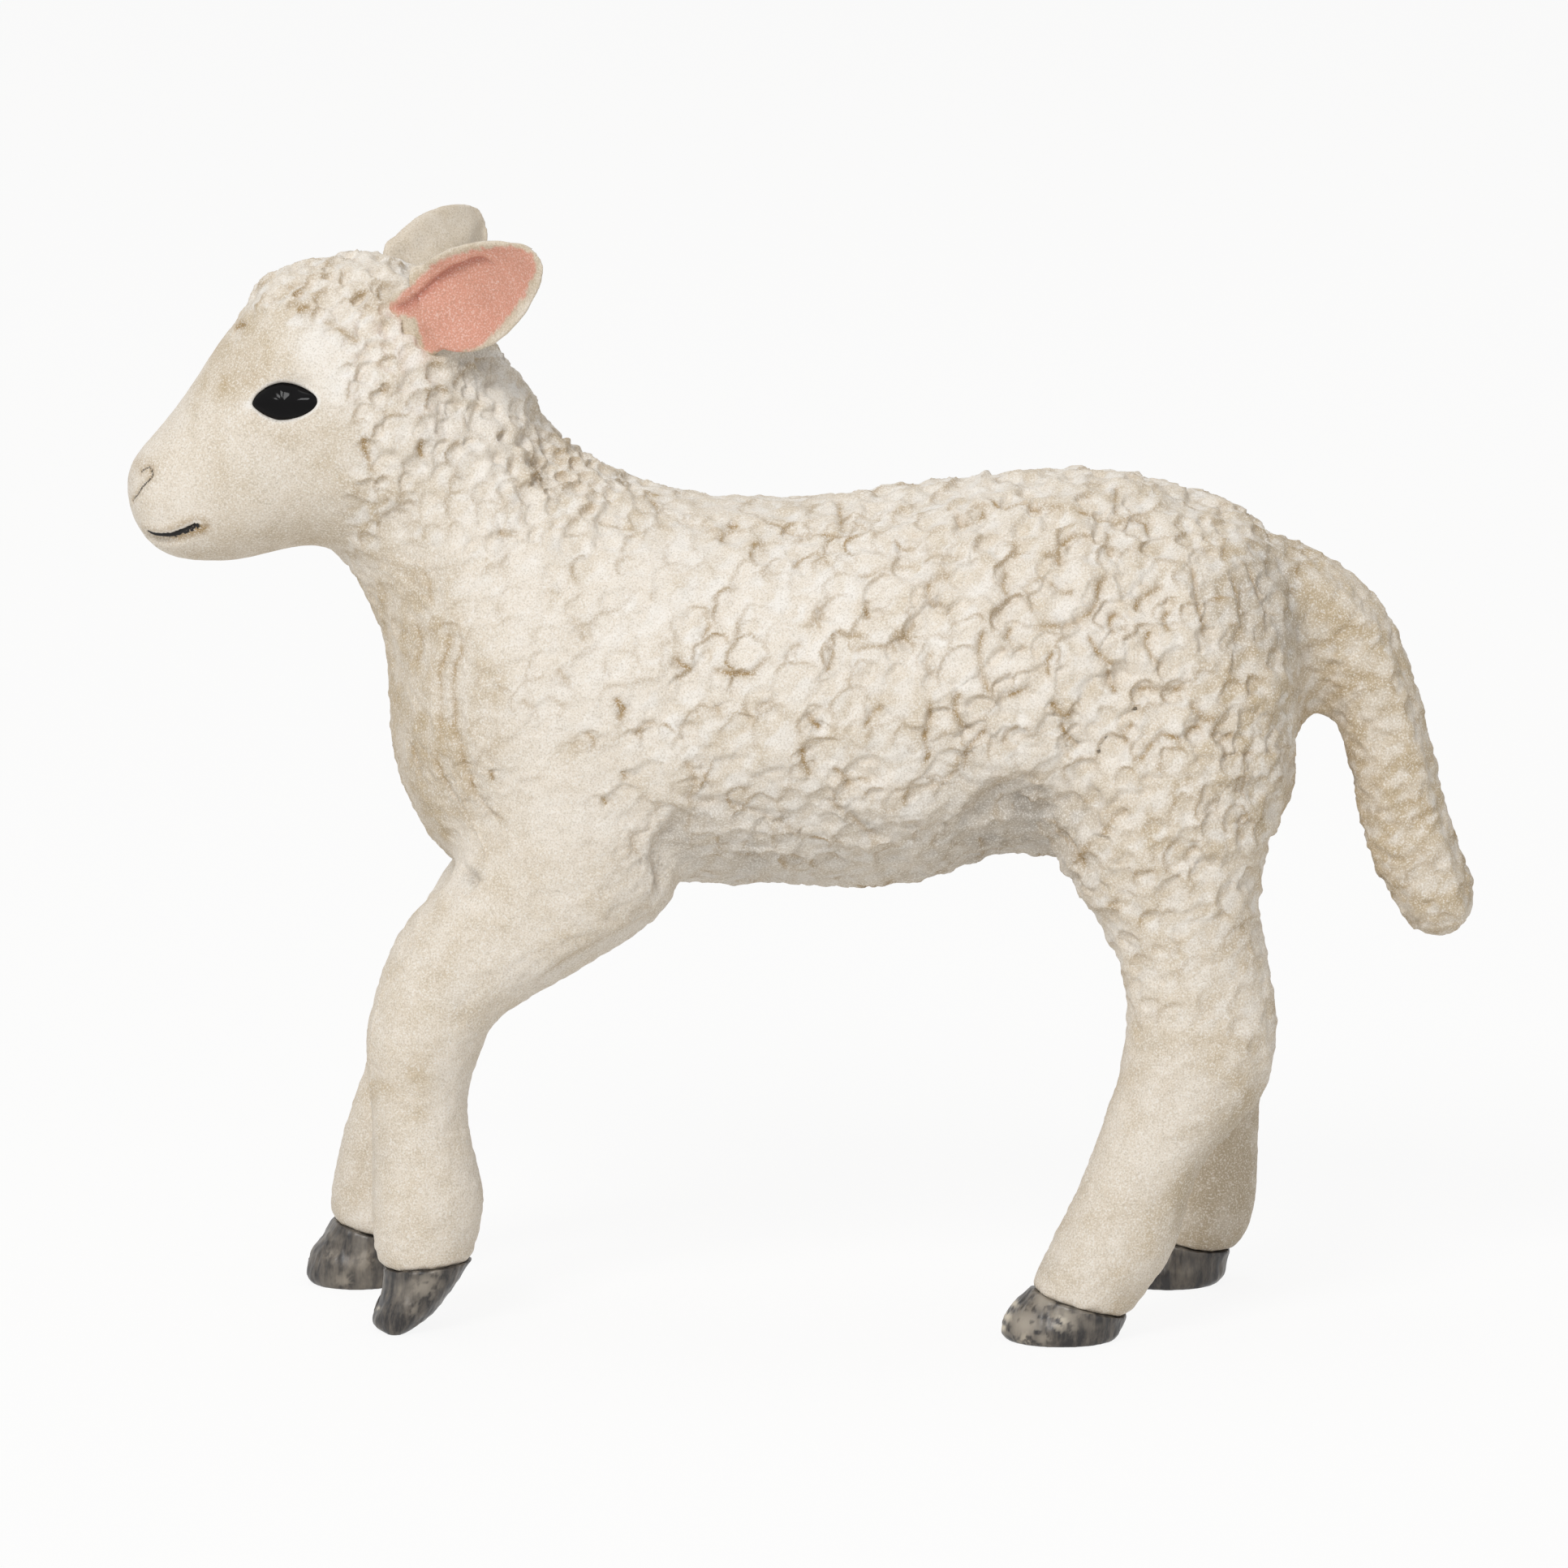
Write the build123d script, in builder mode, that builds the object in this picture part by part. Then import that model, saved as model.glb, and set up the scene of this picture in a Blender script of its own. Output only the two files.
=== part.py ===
from build123d import *
import os
from math import cos, pi, radians, sin

os.makedirs("parts", exist_ok=True)

# A small standing lamb figurine in moulded soft plastic, in millimetres.
# The floor is z = 0, the lamb looks towards -X and its left side is towards -Y.
# Nearly every piece is a run of oval slices under one smooth skin. The rows of each table are
# shares of that piece's own sizes: a table gives the shape, and the named sizes how large it is.

# Trunk
trunk_height = 23.5  # floor to the middle line of the trunk
trunk_length = 28.0  # rump to shoulder
trunk_depth = 15.4  # back to belly at the haunch
trunk_width = 14.2
rump_x = 18.11  # the rump's flat end, which puts the whole outline over the origin
midline_y = -0.19

# Neck
neck_length = 9.2
neck_depth = 9.7  # throat to nape, at the flat seat where the head is glued on
neck_width = 8.2
neck_peg_width = 3.0
neck_peg_depth = 3.4
neck_peg_length = 2.4

# Head
head_length = 10.8  # neck seat to nose tip
head_depth = 11.6  # poll to jaw
head_width = 8.6
head_turn = 10.0  # degrees that the face looks towards the lamb's left

# Ears
ear_length = 7.0
ear_width = 3.8
ear_thickness = 0.9
ear_hollow = 0.7  # how far the middle of an ear lies behind its rim
ear_stalk_length = 2.7  # the straight root, part of which sits in the head

# Eyes
eye_length = 2.3
eye_height = 1.4
eye_slope = 14.0  # degrees that the front corner dips
eye_seat = 0.8  # how deep the bead sits in the head
eye_stand = 0.4  # how far it stands out
eye_round = 0.3  # rounding of its rim

# Legs
foreleg_depth = 7.2  # front to back at the elbow
foreleg_width = 6.0
foreleg_root_rise = 2.5  # how far a foreleg's root reaches above the trunk's middle line
foreleg_track = 3.4  # midline to the middle of the root
hind_leg_depth = 8.9  # front to back at the thigh
hind_leg_width = 7.2
hind_leg_root_rise = 3.0
hind_leg_track = 3.3

# Hooves
hoof_length = 3.9  # toe to heel on the floor
hoof_width = 3.5
left_fore_coronet = 2.45  # floor to the middle of each hoof's top
right_fore_coronet = 2.03
left_hind_coronet = 1.37
right_hind_coronet = 1.55
left_fore_stance = 3.2  # midline to the middle of each hoof
right_fore_stance = 4.9
hind_stance = 4.9
cleft_width = 0.45
cleft_depth = 1.1
hoof_peg_width = 1.2
hoof_peg_length = 0.7

# Tail
tail_length = 13.0  # from inside the rump down to the tip
tail_thickness = 3.4
tail_root_depth = 2.1  # from the rump's end into the trunk
tail_root_rise = 3.2  # above the trunk's middle line

# Fit
glue_gap = 0.05  # room for cement round whatever sits in a pocket

# Into how many spans the points of each half of a slice divide it, and how strongly each end of
# the half keeps to its upright direction. At 1 the slice is a true oval. Thin crescents and the
# tail, which bends tightly, follow their points alone.
curve_spans = 4
end_hold_share = 1.0

# Trunk, from rump to shoulder: place along it, rise above the middle line, lean of the slice
# in degrees, half depth, half width.
trunk_shares = [
    (0.000, -0.006, 91, 0.112, 0.125),
    (0.010, 0.031, 92, 0.254, 0.270),
    (0.034, 0.031, 93, 0.347, 0.362),
    (0.094, 0.022, 93, 0.424, 0.440),
    (0.201, 0.040, 93, 0.469, 0.484),
    (0.328, 0.057, 90, 0.457, 0.500),
    (0.462, 0.025, 90, 0.469, 0.498),
    (0.585, -0.008, 90, 0.470, 0.492),
    (0.706, -0.008, 89, 0.460, 0.480),
    (0.820, 0.002, 88, 0.469, 0.468),
    (0.922, 0.021, 82, 0.490, 0.454),
    (1.000, 0.043, 74, 0.511, 0.437),
]

# Neck, from shoulder to head: reach forward, rise, lean, half depth, half width, and how much
# of the head's turn the slice already has.
neck_shares = [
    (0.152, 0.124, 68, 0.772, 0.695, 0.0),
    (0.238, 0.295, 62, 0.676, 0.634, 0.1),
    (0.276, 0.472, 59, 0.582, 0.590, 0.3),
    (0.325, 0.627, 57, 0.522, 0.549, 0.5),
    (0.394, 0.763, 56, 0.502, 0.522, 0.8),
    (0.471, 0.875, 57, 0.500, 0.500, 1.0),
]

# Head, from the neck seat to the nose: reach forward, rise, lean, half depth, half width.
head_shares = [
    (0.072, 0.081, 68, 0.452, 0.500),
    (0.183, 0.159, 80, 0.476, 0.493),
    (0.301, 0.171, 90, 0.463, 0.471),
    (0.408, 0.157, 97, 0.440, 0.430),
    (0.555, 0.082, 95, 0.389, 0.366),
    (0.716, -0.026, 92, 0.309, 0.291),
    (0.843, -0.096, 90, 0.225, 0.236),
    (0.916, -0.115, 90, 0.165, 0.188),
    (0.969, -0.108, 90, 0.098, 0.116),
    (0.992, -0.096, 90, 0.022, 0.028),
]

# Legs, from the root in the trunk to the coronet where the hoof begins: reach forward and drop
# as shares of the leg's height, lean, half depth, half width, and how far the slice has moved
# from the root's track to the hoof's stance.
left_foreleg_shares = [
    (0.000, 0.000, 172, 0.330, 0.250, 0.0),
    (0.009, 0.085, 168, 0.438, 0.408, 0.0),
    (0.017, 0.191, 165, 0.489, 0.492, 0.0),
    (0.024, 0.287, 166, 0.508, 0.475, 0.1),
    (0.036, 0.377, 167, 0.530, 0.425, 0.2),
    (0.092, 0.443, 166, 0.508, 0.375, 0.4),
    (0.189, 0.519, 159, 0.397, 0.333, 0.5),
    (0.243, 0.586, 164, 0.320, 0.312, 0.6),
    (0.264, 0.650, 176, 0.297, 0.317, 0.7),
    (0.272, 0.727, 180, 0.253, 0.270, 0.8),
    (0.268, 0.812, 181, 0.258, 0.262, 0.9),
    (0.260, 0.890, 180, 0.287, 0.292, 1.0),
    (0.262, 0.953, 183, 0.273, 0.275, 1.0),
    (0.259, 1.000, 186, 0.230, 0.267, 1.0),
]
right_foreleg_shares = [
    (0.000, 0.000, 172, 0.330, 0.250, 0.00),
    (0.009, 0.083, 168, 0.437, 0.408, 0.00),
    (0.017, 0.188, 165, 0.491, 0.492, 0.00),
    (0.031, 0.285, 166, 0.490, 0.475, 0.07),
    (0.057, 0.371, 164, 0.451, 0.425, 0.20),
    (0.121, 0.448, 158, 0.377, 0.375, 0.37),
    (0.184, 0.520, 157, 0.320, 0.333, 0.53),
    (0.229, 0.577, 164, 0.277, 0.312, 0.67),
    (0.258, 0.639, 171, 0.257, 0.317, 0.77),
    (0.284, 0.712, 173, 0.235, 0.270, 0.83),
    (0.310, 0.789, 174, 0.230, 0.262, 0.90),
    (0.332, 0.859, 175, 0.232, 0.275, 0.97),
    (0.344, 0.932, 174, 0.243, 0.292, 1.00),
    (0.350, 1.000, 165, 0.224, 0.267, 1.00),
]
left_hind_leg_shares = [
    (0.000, 0.000, 180, 0.300, 0.236, 0.00),
    (-0.023, 0.067, 180, 0.420, 0.389, 0.16),
    (-0.035, 0.155, 180, 0.496, 0.486, 0.31),
    (-0.031, 0.251, 180, 0.482, 0.472, 0.41),
    (-0.026, 0.334, 180, 0.436, 0.417, 0.50),
    (-0.045, 0.418, 180, 0.352, 0.347, 0.59),
    (-0.074, 0.502, 180, 0.307, 0.299, 0.69),
    (-0.084, 0.575, 179, 0.309, 0.278, 0.75),
    (-0.083, 0.629, 177, 0.311, 0.271, 0.78),
    (-0.060, 0.702, 173, 0.290, 0.250, 0.84),
    (-0.018, 0.769, 175, 0.242, 0.229, 0.91),
    (0.018, 0.854, 173, 0.234, 0.229, 0.97),
    (0.042, 0.915, 173, 0.250, 0.247, 1.00),
    (0.067, 0.959, 170, 0.236, 0.246, 1.00),
    (0.092, 1.000, 164, 0.208, 0.243, 1.00),
]
right_hind_leg_shares = [
    (0.000, 0.000, 180, 0.300, 0.236, 0.00),
    (-0.022, 0.068, 180, 0.421, 0.389, 0.16),
    (-0.034, 0.157, 180, 0.500, 0.486, 0.31),
    (-0.034, 0.253, 180, 0.476, 0.472, 0.41),
    (-0.035, 0.337, 180, 0.414, 0.417, 0.50),
    (-0.056, 0.421, 180, 0.326, 0.347, 0.59),
    (-0.079, 0.505, 180, 0.285, 0.299, 0.69),
    (-0.097, 0.581, 180, 0.272, 0.278, 0.75),
    (-0.104, 0.637, 180, 0.264, 0.271, 0.78),
    (-0.114, 0.714, 180, 0.224, 0.250, 0.84),
    (-0.120, 0.808, 180, 0.192, 0.229, 0.91),
    (-0.115, 0.874, 178, 0.204, 0.229, 0.97),
    (-0.110, 0.930, 175, 0.209, 0.247, 1.00),
    (-0.084, 1.000, 170, 0.184, 0.243, 1.00),
]
# Where the leg roots lie along the trunk, from the rump.
foreleg_root_share = 0.925
hind_leg_root_share = 0.204

# Hooves, below the coronet: reach forward from its middle as a share of the hoof's length,
# height as a share of the coronet's, lean, half length, half width. The last row is the sole.
left_fore_hoof_shares = [
    (0.121, 0.531, 189, 0.362, 0.471),
    (0.267, 0.150, 185, 0.266, 0.457),
    (0.308, 0.000, 180, 0.136, 0.414),
]
right_fore_hoof_shares = [
    (0.084, 0.603, 172, 0.486, 0.500),
    (0.165, 0.190, 177, 0.503, 0.514),
    (0.163, 0.000, 180, 0.460, 0.486),
]
left_hind_hoof_shares = [
    (0.104, 0.600, 168, 0.527, 0.520),
    (0.178, 0.190, 177, 0.557, 0.531),
    (0.171, 0.000, 180, 0.520, 0.509),
]
right_hind_hoof_shares = [
    (0.118, 0.520, 172, 0.490, 0.514),
    (0.198, 0.160, 178, 0.533, 0.526),
    (0.205, 0.000, 180, 0.490, 0.503),
]

# Tail, from its root to the tip: reach back and drop as shares of its length, lean, half depth
# and half width as shares of its thickness.
tail_shares = [
    (0.000, 0.000, 100, 0.559, 0.515),
    (0.111, -0.023, 100, 0.647, 0.574),
    (0.180, 0.006, 86, 0.615, 0.559),
    (0.253, 0.052, 68, 0.562, 0.521),
    (0.315, 0.122, 48, 0.530, 0.500),
    (0.372, 0.245, 31, 0.488, 0.479),
    (0.420, 0.388, 17, 0.456, 0.465),
    (0.456, 0.535, 8, 0.468, 0.471),
    (0.494, 0.681, 11, 0.479, 0.465),
    (0.548, 0.815, 14, 0.465, 0.429),
    (0.592, 0.936, 17, 0.274, 0.271),
    (0.593, 0.964, 17, 0.088, 0.091),
]

# Ears, from where the leaf leaves its stalk to the tip: place along the ear, half width, half
# thickness and hollow as shares of the ear's own sizes. The first row is the stalk's section.
ear_shares = [
    (0.200, 0.320, 0.620, 0.00),
    (0.290, 0.435, 0.560, 0.50),
    (0.410, 0.495, 0.520, 1.00),
    (0.560, 0.490, 0.480, 1.00),
    (0.720, 0.415, 0.430, 0.75),
    (0.880, 0.275, 0.350, 0.30),
    (1.000, 0.080, 0.180, 0.00),
]
# The ear's root from the neck seat, in shares of the head's length, width and depth, and the
# directions of its length and of its hollow side: forward, out and up.
ear_root_shares = (0.089, 0.325, 0.404)
ear_length_shares = (-0.632, 0.627, 0.455)
ear_hollow_shares = (0.639, 0.744, -0.194)

# The middle of an eye from the neck seat, in shares of the head's length, width and depth, and
# the way it looks: forward, out and up.
eye_shares = (0.499, 0.379, 0.209)
eye_facing_shares = (0.320, 0.935, 0.155)


def lengthwise(lean, turn=0):
    """The direction that leans from +X towards +Z, turned about the vertical."""
    return Vector(
        cos(radians(lean)) * cos(radians(turn)),
        cos(radians(lean)) * sin(radians(turn)),
        sin(radians(lean)),
    )


def crosswise(turn=0):
    """The level direction to the lamb's right, turned about the vertical."""
    return Vector(-sin(radians(turn)), cos(radians(turn)), 0)


def slice_plane(centre, lean, turn=0):
    """The plane of one slice: its X runs across the lamb, its Y along the slice's depth."""
    across = crosswise(turn)
    return Plane(origin=centre, x_dir=across, z_dir=across.cross(lengthwise(lean, turn)))


def outline(plane, half_width, half_depth, hollow=0, hold=None):
    """One slice, an oval, or a crescent if hollowed: one curve over it and one under it."""
    holds = [hold, hold] if hold else None
    turns = [pi * step / curve_spans for step in range(curve_spans + 1)]
    with BuildSketch(plane) as drawn:
        with BuildLine():
            for side in (1, -1):
                points = [
                    (
                        side * half_width * cos(turn),
                        side * half_depth * sin(turn) - hollow * sin(turn) ** 2,
                    )
                    for turn in turns
                ]
                ends = [(0, side), (0, -side)]
                Spline(points, tangents=ends, tangent_scalars=holds)
        make_face()
    return drawn.sketch


def skin(slices, grow=0, mode=Mode.ADD, hold=end_hold_share):
    """One smooth skin through the slices, each grown by the same amount."""
    sections = [
        outline(plane, half_width + grow, half_depth + grow, *hollow, hold=hold)
        for plane, half_width, half_depth, *hollow in slices
    ]
    loft(sections, mode=mode)


def leg_slices(shares, root, stance, coronet, depth, width):
    """The slices of a leg between its root in the trunk and the coronet."""
    height = root.Z - coronet
    slices = []
    for reach, drop, lean, deep, wide, moved in shares:
        y = root.Y + moved * (stance - root.Y)
        centre = (root.X - reach * height, y, root.Z - drop * height)
        slices.append((slice_plane(centre, lean), wide * width, deep * depth))
    return slices


def hoof_slices(shares, top):
    """The slices of a hoof, from the coronet that it shares with its leg to the floor."""
    plane = top[0]
    slices = [top]
    for reach, rise, lean, long, wide in shares:
        centre = (plane.origin.X - reach * hoof_length, plane.origin.Y, rise * plane.origin.Z)
        slices.append((slice_plane(centre, lean), wide * hoof_width, long * hoof_length))
    return slices


# The trunk and neck are one skin, and the neck's last slice is the head's seat.
trunk_slices = []
for place, rise, lean, deep, wide in trunk_shares:
    centre = (rump_x - place * trunk_length, midline_y, trunk_height + rise * trunk_depth)
    trunk_slices.append((slice_plane(centre, lean), wide * trunk_width, deep * trunk_depth))
shoulder = trunk_slices[-1][0].origin
for reach, rise, lean, deep, wide, turned in neck_shares:
    centre = (shoulder.X - reach * neck_length, midline_y, shoulder.Z + rise * neck_length)
    plane = slice_plane(centre, lean, turned * head_turn)
    trunk_slices.append((plane, wide * neck_width, deep * neck_depth))
neck_seat = trunk_slices[-1]
neck = neck_seat[0].origin


def on_head(forward, out, up):
    """A point of the head, given from the middle of the neck seat."""
    return neck - lengthwise(0, head_turn) * forward + crosswise(head_turn) * out + Vector(0, 0, up)


head_slices = [neck_seat]
for reach, rise, lean, deep, wide in head_shares:
    centre = on_head(reach * head_length, 0, rise * head_length)
    plane = slice_plane(centre, lean, head_turn)
    head_slices.append((plane, wide * head_width, deep * head_depth))


def ear_slices(side):
    """The slices of one ear: side is -1 for the lamb's left and 1 for its right."""
    forward, out, up = ear_root_shares
    root = on_head(forward * head_length, side * out * head_width, up * head_depth)
    forward, out, up = ear_length_shares
    along = on_head(forward, side * out, up) - neck
    forward, out, up = ear_hollow_shares
    facing = on_head(forward, side * out, up) - neck
    slices = []
    for place, wide, thick, hollow in ear_shares:
        centre = root + along * (place * ear_length)
        plane = Plane(origin=centre, x_dir=facing.cross(along), z_dir=along)
        slices.append(
            (plane, wide * ear_width, thick * ear_thickness / 2, hollow * ear_hollow)
        )
    return slices


def ear_stalk(slices, grow=0, mode=Mode.ADD):
    """The straight root of an ear, or the slot for it."""
    plane, half_width, half_thickness, hollow = slices[0]
    extrude(
        outline(plane, half_width + grow, half_thickness + grow, hollow),
        amount=-ear_stalk_length - grow,
        mode=mode,
    )


def eye_plane(side):
    """The plane on the head's cheek where an eye lies: its Z is the way that the eye looks."""
    forward, out, up = eye_shares
    centre = on_head(forward * head_length, side * out * head_width, up * head_depth)
    forward, out, up = eye_facing_shares
    facing = on_head(forward, side * out, up) - neck
    level = lengthwise(eye_slope, head_turn)
    return Plane(origin=centre, x_dir=level - facing * level.dot(facing), z_dir=facing)


def eye_bead(side, grow=0, mode=Mode.ADD):
    """An oval bead, or the cup for it."""
    with BuildSketch(eye_plane(side).offset(-eye_seat - grow)) as bead:
        Ellipse(eye_length / 2 + grow, eye_height / 2 + grow)
    extrude(bead.sketch, amount=eye_seat + eye_stand + grow, mode=mode)


# Each leg: its table, root, stance, coronet height, depth and width, and its hoof's table.
fore_root = (rump_x - foreleg_root_share * trunk_length, trunk_height + foreleg_root_rise)
hind_root = (rump_x - hind_leg_root_share * trunk_length, trunk_height + hind_leg_root_rise)
legs = {
    "left_foreleg": leg_slices(
        left_foreleg_shares,
        Vector(fore_root[0], midline_y - foreleg_track, fore_root[1]),
        midline_y - left_fore_stance,
        left_fore_coronet,
        foreleg_depth,
        foreleg_width,
    ),
    "right_foreleg": leg_slices(
        right_foreleg_shares,
        Vector(fore_root[0], midline_y + foreleg_track, fore_root[1]),
        midline_y + right_fore_stance,
        right_fore_coronet,
        foreleg_depth,
        foreleg_width,
    ),
    "left_hind_leg": leg_slices(
        left_hind_leg_shares,
        Vector(hind_root[0], midline_y - hind_leg_track, hind_root[1]),
        midline_y - hind_stance,
        left_hind_coronet,
        hind_leg_depth,
        hind_leg_width,
    ),
    "right_hind_leg": leg_slices(
        right_hind_leg_shares,
        Vector(hind_root[0], midline_y + hind_leg_track, hind_root[1]),
        midline_y + hind_stance,
        right_hind_coronet,
        hind_leg_depth,
        hind_leg_width,
    ),
}
hooves = {
    "left_fore_hoof": hoof_slices(left_fore_hoof_shares, legs["left_foreleg"][-1]),
    "right_fore_hoof": hoof_slices(right_fore_hoof_shares, legs["right_foreleg"][-1]),
    "left_hind_hoof": hoof_slices(left_hind_hoof_shares, legs["left_hind_leg"][-1]),
    "right_hind_hoof": hoof_slices(right_hind_hoof_shares, legs["right_hind_leg"][-1]),
}
ears = {"left_ear": ear_slices(-1), "right_ear": ear_slices(1)}
eyes = {"left_eye": -1, "right_eye": 1}

tail_root = Vector(rump_x - tail_root_depth, midline_y, trunk_height + tail_root_rise)
tail_slices = []
for reach, drop, lean, deep, wide in tail_shares:
    centre = tail_root + Vector(reach * tail_length, 0, -drop * tail_length)
    tail_slices.append((slice_plane(centre, lean), wide * tail_thickness, deep * tail_thickness))

# The body: trunk and neck in one, with a pocket for each limb's root and for the tail's, and
# a square peg on the neck seat that keys the head.
with BuildPart() as body:
    skin(trunk_slices)
    for slices in legs.values():
        skin(slices, glue_gap, Mode.SUBTRACT)
    skin(tail_slices, glue_gap, Mode.SUBTRACT, hold=None)
    with BuildSketch(neck_seat[0]):
        Rectangle(neck_peg_width, neck_peg_depth)
    extrude(amount=-neck_peg_length)
body.part.label = "body"
export_step(body.part, "parts/body.step")

# The head: sits flat on the neck, with the peg's pocket behind, two ear slots and two eye cups.
with BuildPart() as head:
    skin(head_slices)
    with BuildSketch(neck_seat[0]):
        Rectangle(neck_peg_width + 2 * glue_gap, neck_peg_depth + 2 * glue_gap)
    extrude(amount=-neck_peg_length - glue_gap, mode=Mode.SUBTRACT)
    for side in eyes.values():
        eye_bead(side, glue_gap, Mode.SUBTRACT)
    for slices in ears.values():
        ear_stalk(slices, glue_gap, Mode.SUBTRACT)
head.part.label = "head"
export_step(head.part, "parts/head.step")

# Ears: hollowed leaves whose roots sit in the head's slots.
for name, slices in ears.items():
    with BuildPart() as ear:
        skin(slices, hold=None)
        ear_stalk(slices)
    ear.part.label = name
    export_step(ear.part, f"parts/{name}.step")

# Eyes: glossy beads set in cups, with rounded rims.
for name, side in eyes.items():
    cheek = eye_plane(side)
    with BuildPart() as eye:
        eye_bead(side)
        fillet(eye.faces().sort_by(Axis(cheek.origin, cheek.z_dir))[-1].edges(), radius=eye_round)
    eye.part.label = name
    export_step(eye.part, f"parts/{name}.step")

# Legs: each fills its pocket in the trunk and ends in a square peg for its hoof.
for name, slices in legs.items():
    with BuildPart() as leg:
        skin(slices)
        with BuildSketch(slices[-1][0]):
            Rectangle(hoof_peg_width, hoof_peg_width)
        extrude(amount=-hoof_peg_length)
    leg.part.label = name
    export_step(leg.part, f"parts/{name}.step")

# Hooves: cloven shoes with flat soles. The cleft is deepest at the floor and ends below the
# coronet.
for name, slices in hooves.items():
    coronet = slices[0][0]
    sole, _, half_sole = slices[-1]
    toe_x = sole.origin.X - half_sole
    cleft_plane = Plane(origin=(0, coronet.origin.Y, 0), x_dir=(1, 0, 0), z_dir=(0, -1, 0))
    with BuildPart() as hoof:
        skin(slices)
        with BuildSketch(coronet):
            Rectangle(hoof_peg_width + 2 * glue_gap, hoof_peg_width + 2 * glue_gap)
        extrude(amount=-hoof_peg_length - glue_gap, mode=Mode.SUBTRACT)
        with BuildSketch(cleft_plane):
            Polygon(
                (toe_x - cleft_depth, 0),
                (toe_x + cleft_depth, 0),
                (toe_x - cleft_depth, coronet.origin.Z),
                align=None,
            )
        extrude(amount=cleft_width / 2, both=True, mode=Mode.SUBTRACT)
    hoof.part.label = name
    export_step(hoof.part, f"parts/{name}.step")

# The tail: hangs from its pocket in the rump and curls slightly out.
with BuildPart() as tail:
    skin(tail_slices, hold=None)
tail.part.label = "tail"
export_step(tail.part, "parts/tail.step")
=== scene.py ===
import math

import bpy
import numpy as np
from mathutils import Matrix, Vector
from mathutils.bvhtree import BVHTree
from mathutils.kdtree import KDTree


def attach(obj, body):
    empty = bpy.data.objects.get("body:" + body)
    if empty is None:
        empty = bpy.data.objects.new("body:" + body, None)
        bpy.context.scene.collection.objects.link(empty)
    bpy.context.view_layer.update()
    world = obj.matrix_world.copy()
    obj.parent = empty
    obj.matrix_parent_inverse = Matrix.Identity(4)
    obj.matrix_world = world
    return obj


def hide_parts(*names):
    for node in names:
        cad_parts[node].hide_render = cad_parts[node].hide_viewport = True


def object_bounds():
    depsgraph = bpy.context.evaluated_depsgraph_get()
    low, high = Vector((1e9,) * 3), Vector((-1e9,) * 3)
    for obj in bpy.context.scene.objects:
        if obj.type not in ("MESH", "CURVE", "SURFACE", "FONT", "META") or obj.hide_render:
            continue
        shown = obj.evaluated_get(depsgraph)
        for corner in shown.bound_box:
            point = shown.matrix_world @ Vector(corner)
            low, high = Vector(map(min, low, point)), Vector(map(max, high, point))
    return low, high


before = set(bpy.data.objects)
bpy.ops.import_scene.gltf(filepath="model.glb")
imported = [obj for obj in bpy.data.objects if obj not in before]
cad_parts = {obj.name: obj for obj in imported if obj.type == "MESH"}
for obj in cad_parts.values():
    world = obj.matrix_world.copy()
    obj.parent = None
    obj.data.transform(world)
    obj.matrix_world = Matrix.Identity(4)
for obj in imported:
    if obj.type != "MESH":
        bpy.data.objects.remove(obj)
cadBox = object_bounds()

# A lamb figurine in moulded soft plastic, painted by hand. The moulded skin runs without a seam
# from the nose to the hooves, so its pieces are cut from one skin that is made around the CAD
# solids. Meshes are worked in millimetres and put into the scene in metres at the end.
mm = 0.001
rng = np.random.default_rng(7)


# Camera

cameraPlace = {
    "target": (-0.76, -0.04, 19.8),  # mm
    "distance": 380.0,
    "elevation": 9.5,  # degrees
    "lens": 236.0,
    "sensor": 36.0,
    "photoSide": 1932,  # pixels
}


def makeCamera(s):
    tilt = math.radians(s["elevation"])
    back = Vector((0, -math.cos(tilt), math.sin(tilt)))
    data = bpy.data.cameras.new("photoCamera")
    data.lens = s["lens"]
    data.sensor_width = s["sensor"]
    data.clip_start = 0.01
    data.clip_end = 20
    camera = bpy.data.objects.new("photoCamera", data)
    camera.location = (Vector(s["target"]) + back * s["distance"]) * mm
    camera.rotation_euler = back.to_track_quat("Z", "Y").to_euler()
    bpy.context.scene.collection.objects.link(camera)
    bpy.context.scene.camera = camera


def cameraAxes(s):
    tilt = math.radians(s["elevation"])
    back = np.array((0, -math.cos(tilt), math.sin(tilt)))
    up = np.array((0, math.sin(tilt), math.cos(tilt)))
    eye = np.array(s["target"]) + back * s["distance"]
    focal = s["lens"] / s["sensor"] * s["photoSide"]
    return eye, back, up, focal


def photoRay(px, py):
    # the ray through a pixel of the photograph, in millimetres
    eye, back, up, focal = cameraAxes(cameraPlace)
    middle = cameraPlace["photoSide"] / 2
    way = -back + np.array((1, 0, 0)) * (px - middle) / focal - up * (py - middle) / focal
    return Vector(eye), Vector(way).normalized()


def toPhoto(points):
    # photo pixels of points in millimetres
    eye, back, up, focal = cameraAxes(cameraPlace)
    middle = cameraPlace["photoSide"] / 2
    away = (points - eye) @ -back
    px = middle + focal * (points[:, 0] - eye[0]) / away
    py = middle - focal * ((points - eye) @ up) / away
    return np.stack((px, py), axis=1)


makeCamera(cameraPlace)
print("camera placed")


# Mesh work

def readPoints(mesh):
    points = np.empty(len(mesh.vertices) * 3)
    mesh.vertices.foreach_get("co", points)
    return points.reshape(-1, 3)


def readNormals(mesh):
    normals = np.empty(len(mesh.vertices) * 3)
    mesh.vertex_normals.foreach_get("vector", normals)
    return normals.reshape(-1, 3)


def readQuads(mesh):
    # all faces of a voxel skin are quads
    corners = np.empty(len(mesh.loops), np.int64)
    mesh.loops.foreach_get("vertex_index", corners)
    return corners.reshape(-1, 4)


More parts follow.
